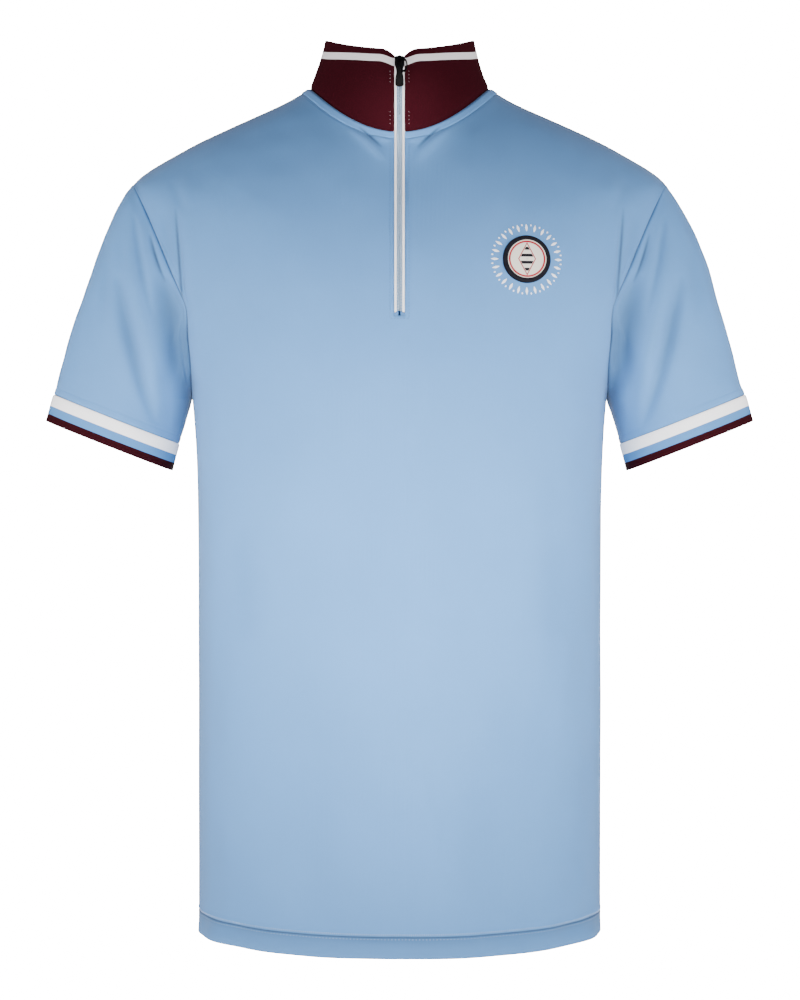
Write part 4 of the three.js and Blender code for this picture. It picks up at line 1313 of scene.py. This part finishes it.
class POLO_OT_zip(bpy.types.Operator):
    """Coil zip: tapes, coil turns, pipings, slider and pull tab"""

    bl_idname = "polo.zip"
    bl_label = "Zip"

    def execute(self, context):
        cloth, zip_props = context.scene.polo_cloth, context.scene.polo_zip
        tape_cloth = smooth_cloth("zip_tape", cloth.blue, cloth, 0.0006)
        piping_cloth = smooth_cloth("piping", cloth.white, cloth, 0.0009)
        coil = nylon("zip_coil", zip_props.coil)
        enamel = black_enamel(zip_props)
        turn = template("turn")
        for side, name in SIDES:
            for kind, section, top, end, woven in (
                ("tape", TAPE_SECTION, TAPE_START, ZIP_END - TAPE_TAIL, tape_cloth),
                ("piping", PIPING_SECTION, PIPING_START, ZIP_END, piping_cloth),
            ):
                strip, flat = zip_strip(f"zip_{kind}_{name}_cloth", section, side, top, end)
                dress(strip, woven, f"zip_{kind}_{name}")
            self.turns(side, name, zip_props.pitch / MM, turn, coil)
        for name, body in (("slider", SHIRT), ("pull_tab", "pull_tab")):
            self.metal(name, body, zip_props.edge, enamel)
        self.loop(zip_props.loop, enamel)
        return {"FINISHED"}

    def turns(self, side, name, pitch, turn, coil):
        """One side's row of coil turns. The right side's lie between the left side's."""
        line, normals = zip_sheet(COIL_OUT * side, ZIP_END)
        run = running_length(line)
        places = np.arange(COIL_START + (pitch / 2 if side < 0 else 0), run[-1], pitch)
        outwards = resampled(normals, places, run)
        spots = resampled(line, places, run) + outwards * COIL_LIFT
        across = np.repeat([[float(side), 0, 0]], len(spots), 0)
        size = (COIL_WIDTH, pitch * COIL_SHARE, COIL_HEIGHT)
        row = repeated(f"zip_coil_{name}_turns", turn, spots, across, unit(outwards), size)
        dress(row, coil, f"zip_coil_{name}")

    def loop(self, width, enamel):
        """The slider's wire loop, turned out beside the pull tab."""
        low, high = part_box("slider")
        radius = width / 2
        place = (radius * 1.2, low[1] + 0.0005, high[2] - radius * 3.1)
        bpy.ops.object.select_all(action="DESELECT")
        bpy.ops.mesh.primitive_torus_add(
            major_segments=40,
            minor_segments=8,
            major_radius=radius,
            minor_radius=0.00055,
            rotation=(QUARTER, 0, 0),
            location=place,
        )
        piece = bpy.context.object
        piece.name = "slider_loop"
        bpy.ops.object.transform_apply(location=True, rotation=True, scale=True)
        with edited(piece):
            bpy.ops.transform.resize(value=(1, 1, 1.75), center_override=place)
        bpy.ops.object.shade_smooth()
        piece.data.materials.append(enamel)
        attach(piece, SHIRT)

    def metal(self, name, body, edge, enamel):
        """The frame's own metal piece with its edges rounded over."""
        piece = bpy.data.objects.new(name + "_metal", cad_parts[name].data.copy())
        bpy.context.collection.objects.link(piece)
        with edited(piece):
            bpy.ops.mesh.remove_doubles(threshold=0.00001)
            bpy.ops.mesh.dissolve_limited(angle_limit=0.02)
        rounded(piece, edge, 0.7)
        select_only(piece)
        bpy.ops.object.shade_smooth_by_angle(angle=0.8)
        piece.data.materials.clear()
        piece.data.materials.append(enamel)
        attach(piece, body)
        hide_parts(name)


class POLO_OT_sewing(bpy.types.Operator):
    """Topstitching round the neck, down the zip and round the hem"""

    bl_idname = "polo.sewing"
    bl_label = "Sewing"

    def execute(self, context):
        cloth = context.scene.polo_cloth
        hem, pitch = cloth.hem / MM, cloth.stitch_pitch / MM
        threads = {
            "blue_thread": rgba(cloth.blue, 0.6),
            "light_thread": tuple(mix(c, 0.9, 0.3) for c in cloth.blue),
            "pale_thread": cloth.stitch_light,
        }
        blue, light, pale = (thread(name, tint) for name, tint in threads.items())
        neck, lower, cover = [], [], []
        for name in ("front", "back"):
            part = BUILT[name]
            surface = Surface(part["piece"])
            neck += self.across(part, "down", NECK_STITCHES, surface, pitch, name == "front")
            lower += self.across(part, "up", hem - 1.8, surface, pitch)
            cover += self.across(part, "up", hem + 2.2, surface, pitch * 0.62)
        length = cloth.stitch / MM
        sew("neck_stitching", neck, blue, (length, 0.42, 0.36))
        sew("hem_stitching", lower, light, (length * 0.6, 0.36, 0.3))
        sew("hem_cover_stitching", cover, light, (0.5, 1.7, 0.3))
        sew("placket_stitching", self.beside_zip(pitch), blue, (length, 0.42, 0.36))
        sew("collar_stitching", self.on_collar(pitch), pale, (length * 0.5, 0.3, 0.26))
        return {"FINISHED"}

    def across(self, part, measure, place, surface, pitch, split=False):
        """Stitches at one distance down or up a panel, left out where the zip is if split."""
        line, outwards = [], []
        for column in range(part["grid"].shape[1]):
            far = part[measure][:, column]
            order = slice(None) if far[0] < far[-1] else slice(None, None, -1)
            for found, source in ((line, part["grid"]), (outwards, part["normals"])):
                found.append([np.interp(place, far[order], source[order, column, k]) for k in range(3)])
        line, outwards = np.array(line), np.array(outwards)
        if not split:
            return [stitch_row(line, outwards, surface, pitch)]
        clear = np.abs(line[:, 0]) > ZIP_SLOT + 0.4
        halves = (line[:, 0] < 0) & clear, (line[:, 0] > 0) & clear
        return [stitch_row(line[half], outwards[half], surface, pitch) for half in halves]

    def beside_zip(self, pitch):
        """A row down each side of the zip, and one across below its end."""
        surface = Surface(BUILT["front"]["piece"])
        end = ZIP_END - 6
        rows = []
        for side, _ in SIDES:
            line, normals = zip_sheet(STITCH_COLUMN * side, end)
            below = line[:, 2] < SECTIONS[0][4] - 9
            rows.append(stitch_row(line[below], normals[below], surface, pitch))
        line, normals = zip_sheet(1.0, end)
        bottom = np.array([(x, *line[-1, 1:]) for x in (-STITCH_COLUMN, STITCH_COLUMN)])
        rows.append(stitch_row(bottom, np.repeat(normals[-1:], 2, 0), surface, pitch * 0.8))
        return rows

    def on_collar(self, pitch):
        surface = Surface(BUILT["collar"]["piece"])
        rows = []
        for side, _ in SIDES:
            line, normals = zip_sheet(STITCH_COLUMN * side, -60)
            for low, high in COLLAR_STITCHES:
                on = (line[:, 2] > low) & (line[:, 2] < high)
                rows.append(stitch_row(line[on], normals[on], surface, pitch))
        return rows


# The badge's patch: its lift off the cloth, and where its rim starts and how high it rises.
PATCH_LIFT, RIM_START, RIM_RISE = 0.75, 0.83, 0.55


class POLO_OT_badge(bpy.types.Operator):
    """Round embroidered badge with a ring of satin stitches on the breast"""

    bl_idname = "polo.badge"
    bl_label = "Badge"

    def execute(self, context):
        badge, cloth = context.scene.polo_badge, context.scene.polo_cloth
        low, high = (Vector(corner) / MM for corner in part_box("chest_badge"))
        centre = np.array((low + high) / 2)
        surface = Surface(BUILT["front"]["piece"])
        self.patch(surface, centre, badge)
        white = thread("white_thread", cloth.white)
        for name, radius, size, offset in (
            ("badge_rays", badge.rays / MM, (6.4, 2.3, 0.9), 0.0),
            ("badge_dots", badge.rays / MM + 2.2, (2.0, 1.5, 0.8), 0.5),
        ):
            turns = (np.arange(badge.count) + offset) * 2 * np.pi / badge.count
            outward = np.stack([np.cos(turns), np.zeros(badge.count), np.sin(turns)], -1)
            places, normals = surface.near(centre + outward * radius, self.forwards(badge.count))
            dress(repeated(name, template("leaf"), places + normals * 0.1, outward, normals, size), white)
        return {"FINISHED"}

    def patch(self, surface, centre, badge):
        """The round patch with a raised satin rim."""
        shares = np.concatenate([np.linspace(0.02, 0.8, 14), np.linspace(RIM_START, 1, 12)])
        turns = np.linspace(0, 2 * np.pi, 97)[:-1]
        rim = (shares - RIM_START) / (1 - RIM_START)
        arch = np.sqrt(np.clip(1 - (2 * rim - 1) ** 2, 0, 1))
        lift = PATCH_LIFT + np.where(rim > 0, RIM_RISE * arch, 0)
        lift[-1] = 0.1
        flat = shares[:, None, None] * badge.radius * np.stack([np.cos(turns), np.sin(turns)], -1)
        points = centre + np.stack([flat[..., 0], np.zeros(flat.shape[:2]), flat[..., 1]], -1) / MM
        places, normals = surface.near(points.reshape(-1, 3), self.forwards(points[..., 0].size))
        normals = unit(normals.mean(0) * 2 + normals)
        grid = (places + normals * np.repeat(lift, len(turns))[:, None]).reshape(points.shape)
        piece = shell("badge_patch", grid[:, ::-1], flat[:, ::-1], 0.0008, ring=True)
        finish_cloth(piece, badge_cloth(badge), "chest_badge", math.pi * badge.radius**2)

    def forwards(self, count):
        return np.repeat([[0.0, -1.0, 0.0]], count, 0)


# The beam of a light without a grid in front of it, as an angle.
WIDE = 3.1

# The width of the camera's film, in millimetres, and the colour of the light from the room.
SENSOR = 36
ROOM_TINT = (1.25, 0.93, 0.96, 1.0)


class POLO_OT_stage(bpy.types.Operator):
    """Pale floor, white room, soft lights and the camera"""

    bl_idname = "polo.stage"
    bl_label = "Stage"

    def execute(self, context):
        scene = context.scene
        stage = scene.polo_stage
        self.floor(stage)
        self.camera(scene, stage)
        self.room(scene, stage)
        middle, collar = (0, 0, -0.44), (0, 0, -0.035)
        front = (0, -stage.front_distance, stage.front_height)
        self.light("front_softbox", front, middle, 0.5, stage.front, stage.front_spread)
        for side, name in ((-1, "left"), (1, "right")):
            beside, over = (side * 1.5, -0.7, -0.6), (side * 0.7, -1.0, -0.5)
            self.light(f"{name}_softbox", beside, middle, 0.9, stage.side, WIDE)
            self.light(f"{name}_sleeve_light", over, (side * 0.25, 0, -0.24), 0.3, stage.sleeve, 0.5)
        self.light("collar_light", (0, -1.0, 0), collar, 0.03, stage.collar, 0.12)
        self.light("back_softbox", (0, 1.7, -0.3), middle, 1.2, stage.back, WIDE)
        return {"FINISHED"}

    def floor(self, stage):
        low = float(CAD_BOX[0][2]) - stage.floor_drop
        bpy.ops.object.select_all(action="DESELECT")
        bpy.ops.mesh.primitive_cylinder_add(vertices=128, radius=1.1, depth=0.03, location=(0, 0, low))
        floor = bpy.context.object
        floor.name = "studio_floor"
        bpy.ops.object.transform_apply(location=True, rotation=True, scale=True)
        rounded(floor, 0.01, math.radians(30))
        floor.data.materials.append(stage_paint("floor_paint", stage.floor))
        floor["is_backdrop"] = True

    def room(self, scene, stage):
        """A white room: bright to look at, and softer as a light on the cloth."""
        world = bpy.data.worlds.new("studio")
        scene.world = world
        world.use_nodes = True
        tree = world.node_tree
        soft = tree.nodes["Background"]
        soft.inputs["Color"].default_value = ROOM_TINT
        soft.inputs["Strength"].default_value = stage.ambient
        white = tree.nodes.new("ShaderNodeBackground")
        white.inputs["Strength"].default_value = stage.backdrop
        sight = tree.nodes.new("ShaderNodeLightPath")
        either = tree.nodes.new("ShaderNodeMixShader")
        tree.links.new(sight.outputs["Is Camera Ray"], either.inputs[0])
        tree.links.new(soft.outputs[0], either.inputs[1])
        tree.links.new(white.outputs[0], either.inputs[2])
        tree.links.new(either.outputs[0], tree.nodes["World Output"].inputs[0])

    def camera(self, scene, stage):
        camera = bpy.data.objects.new("camera", bpy.data.cameras.new("camera"))
        scene.collection.objects.link(camera)
        camera.location = (stage.aside, -stage.distance, stage.eye)
        camera.rotation_euler = (QUARTER, 0, 0)
        camera.data.sensor_width = SENSOR
        camera.data.lens = SENSOR * stage.distance / stage.view_height
        scene.camera = camera

    def light(self, name, place, target, size, power, spread):
        """A square soft light that the camera doesn't see."""
        light = bpy.data.lights.new(name, "AREA")
        light.shape = "SQUARE"
        light.size = size
        light.energy = power
        light.spread = spread
        obj = bpy.data.objects.new(name, light)
        bpy.context.collection.objects.link(obj)
        obj.location = place
        obj.visible_camera = False
        obj.rotation_euler = (Vector(target) - Vector(place)).to_track_quat("-Z", "Y").to_euler()


def length(name, description, default):
    return FloatProperty(name=name, description=description, default=default, unit="LENGTH")


def power(name, description, default):
    return FloatProperty(name=name, description=description, default=default, unit="POWER")


def share(name, description, default):
    return FloatProperty(name=name, description=description, default=default, min=0, max=1, subtype="FACTOR")


def colour(name, description, default):
    return FloatVectorProperty(name=name, description=description, default=default, subtype="COLOR")


class PoloCloth(bpy.types.PropertyGroup):
    wall: length("Cloth thickness", "Thickness of the knit", 0.0009)
    seam_depth: length("Seam depth", "How far the cloth dips at a seam", 0.0009)
    hem: length("Hem depth", "Depth of the turned hem", 0.0168)
    ripple: length("Ripple", "Height of the cloth's slight waves", 0.0009)
    wale: length("Wale", "Width of one column of loops", 0.00105)
    course: length("Course", "Height of one row of loops", 0.0009)
    rib: length("Rib", "Width of one rib of the collar and cuffs", 0.0016)
    relief: length("Relief", "Height of the knit's surface", 0.00016)
    mottle: share("Mottle", "Unevenness of the dye", 0.22)
    melange: share("Melange", "Contrast of single fibres", 0.12)
    # Painted light: how much lighter the neck's band is drawn.
    band: share("Neck band", "How light the band round the neck is", 0.6)
    # How dark the painted shade in the folds' hollows and under the arm is.
    painted_hollow_shade: share("Fold shade", "How dark the folds' hollows are", 0.75)
    # How far the painted shade below the hem's line reaches.
    hem_shade: length("Hem shade", "How far the hem's shade reaches", 0.01)
    # How dark the seam lines and the painted shade in the grooves and tight creases are.
    seam_and_crease_shade: share("Seam line", "How dark the seams and the grooves are", 0.8)
    stripe: length("Collar stripe", "Height of the collar's stripe", 0.0058)
    cuff_white: length("Cuff white", "Depth of the white stripe", 0.01)
    cuff_blue: length("Cuff blue", "Depth of the blue stripe", 0.0069)
    stitch: length("Stitch length", "Length of one topstitch", 0.0021)
    stitch_pitch: length("Stitch pitch", "From one stitch to the next", 0.0028)
    blue: colour("Blue", "Body colour", (0.084, 0.244, 0.522))
    burgundy: colour("Burgundy", "Collar colour", (0.033, 0.0025, 0.006))
    white: colour("White", "Stripe colour", (0.93, 0.94, 0.96))
    stitch_light: colour("Light thread", "Thread beside the collar's zip", (0.42, 0.38, 0.4))


class PoloZip(bpy.types.PropertyGroup):
    pitch: length("Coil pitch", "From one turn of the coil to the next", 0.00125)
    loop: length("Loop", "Width of the slider's wire loop", 0.0056)
    edge: length("Edge radius", "Rounding of the metal's edges", 0.00022)
    coil: colour("Coil", "Coil colour", (0.38, 0.52, 0.68))
    metal: colour("Enamel", "Slider colour", (0.002, 0.002, 0.0023))


class PoloBadge(bpy.types.PropertyGroup):
    radius: length("Radius", "Radius of the round badge", 0.019)
    rays: length("Ray circle", "Radius of the ring of satin stitches", 0.0262)
    count: IntProperty(name="Rays", description="Number of satin stitches in the ring", default=24, min=3)
    field: colour("Field", "Colour of the field", (0.74, 0.70, 0.62))
    border: colour("Border", "Colour of the border", (0.004, 0.004, 0.008))
    ring: colour("Ring", "Colour of the thin ring", (0.34, 0.02, 0.03))


class PoloStage(bpy.types.PropertyGroup):
    distance: length("Camera distance", "From the camera to the shirt", 2.5)
    eye: length("Eye level", "Height of the camera", -0.3494)
    aside: length("Aside", "How far the camera stands to the right", 0.0004)
    view_height: length("View height", "Height of the view at the shirt", 0.85)
    floor: colour("Floor", "Colour of the floor", (0.82, 0.82, 0.82))
    floor_drop: length("Floor drop", "From the hem to the floor", 0.4)
    ambient: FloatProperty(name="Ambient", description="Strength of the room's light", default=0.28, min=0)
    backdrop: FloatProperty(name="Backdrop", description="Brightness of the white room", default=26, min=0)
    front: power("Front light", "Power of the front softbox", 2.55)
    front_distance: length("Front distance", "From the shirt to the softbox", 0.9)
    front_height: length("Front height", "Height of the front softbox", -0.35)
    front_spread: FloatProperty(
        name="Front spread", description="Beam angle of the softbox", default=0.8, subtype="ANGLE"
    )
    side: power("Side lights", "Power of each side softbox", 24)
    sleeve: power("Sleeve lights", "Power of the light on each sleeve", 0.34)
    collar: power("Collar light", "Power of the light on the collar", 0.016)
    back: power("Back light", "Power of the softbox behind the shirt", 34)


class POLO_PT_panel(bpy.types.Panel):
    """The shirt's sizes, colours and pieces"""

    bl_idname = "POLO_PT_panel"
    bl_label = "Polo shirt"
    bl_space_type = "VIEW_3D"
    bl_region_type = "UI"
    bl_category = "Polo shirt"

    def draw(self, context):
        for title, group in GROUPS.items():
            box = self.layout.box()
            for name in group.__annotations__:
                box.prop(getattr(context.scene, title), name)
        for operator in OPERATORS:
            self.layout.operator(operator.bl_idname)


OPERATORS = (
    POLO_OT_panels,
    POLO_OT_sleeves,
    POLO_OT_cuffs,
    POLO_OT_collar,
    POLO_OT_zip,
    POLO_OT_sewing,
    POLO_OT_badge,
    POLO_OT_stage,
)
GROUPS = {"polo_cloth": PoloCloth, "polo_zip": PoloZip, "polo_badge": PoloBadge, "polo_stage": PoloStage}


def register():
    for cls in (*GROUPS.values(), *OPERATORS, POLO_PT_panel):
        bpy.utils.register_class(cls)
    for name, group in GROUPS.items():
        setattr(bpy.types.Scene, name, PointerProperty(type=group))


def unregister():
    for name in GROUPS:
        delattr(bpy.types.Scene, name)
    for cls in reversed((*GROUPS.values(), *OPERATORS, POLO_PT_panel)):
        bpy.utils.unregister_class(cls)


def main():
    register()
    bpy.ops.polo.panels()
    bpy.ops.polo.sleeves()
    bpy.ops.polo.cuffs()
    bpy.ops.polo.collar()
    bpy.ops.polo.zip()
    bpy.ops.polo.sewing()
    bpy.ops.polo.badge()
    bpy.ops.polo.stage()
    boxes = {"cad": CAD_BOX, "visual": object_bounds()}
    plain = {name: [[float(x) for x in corner] for corner in box] for name, box in boxes.items()}


if __name__ == "__main__":
    main()
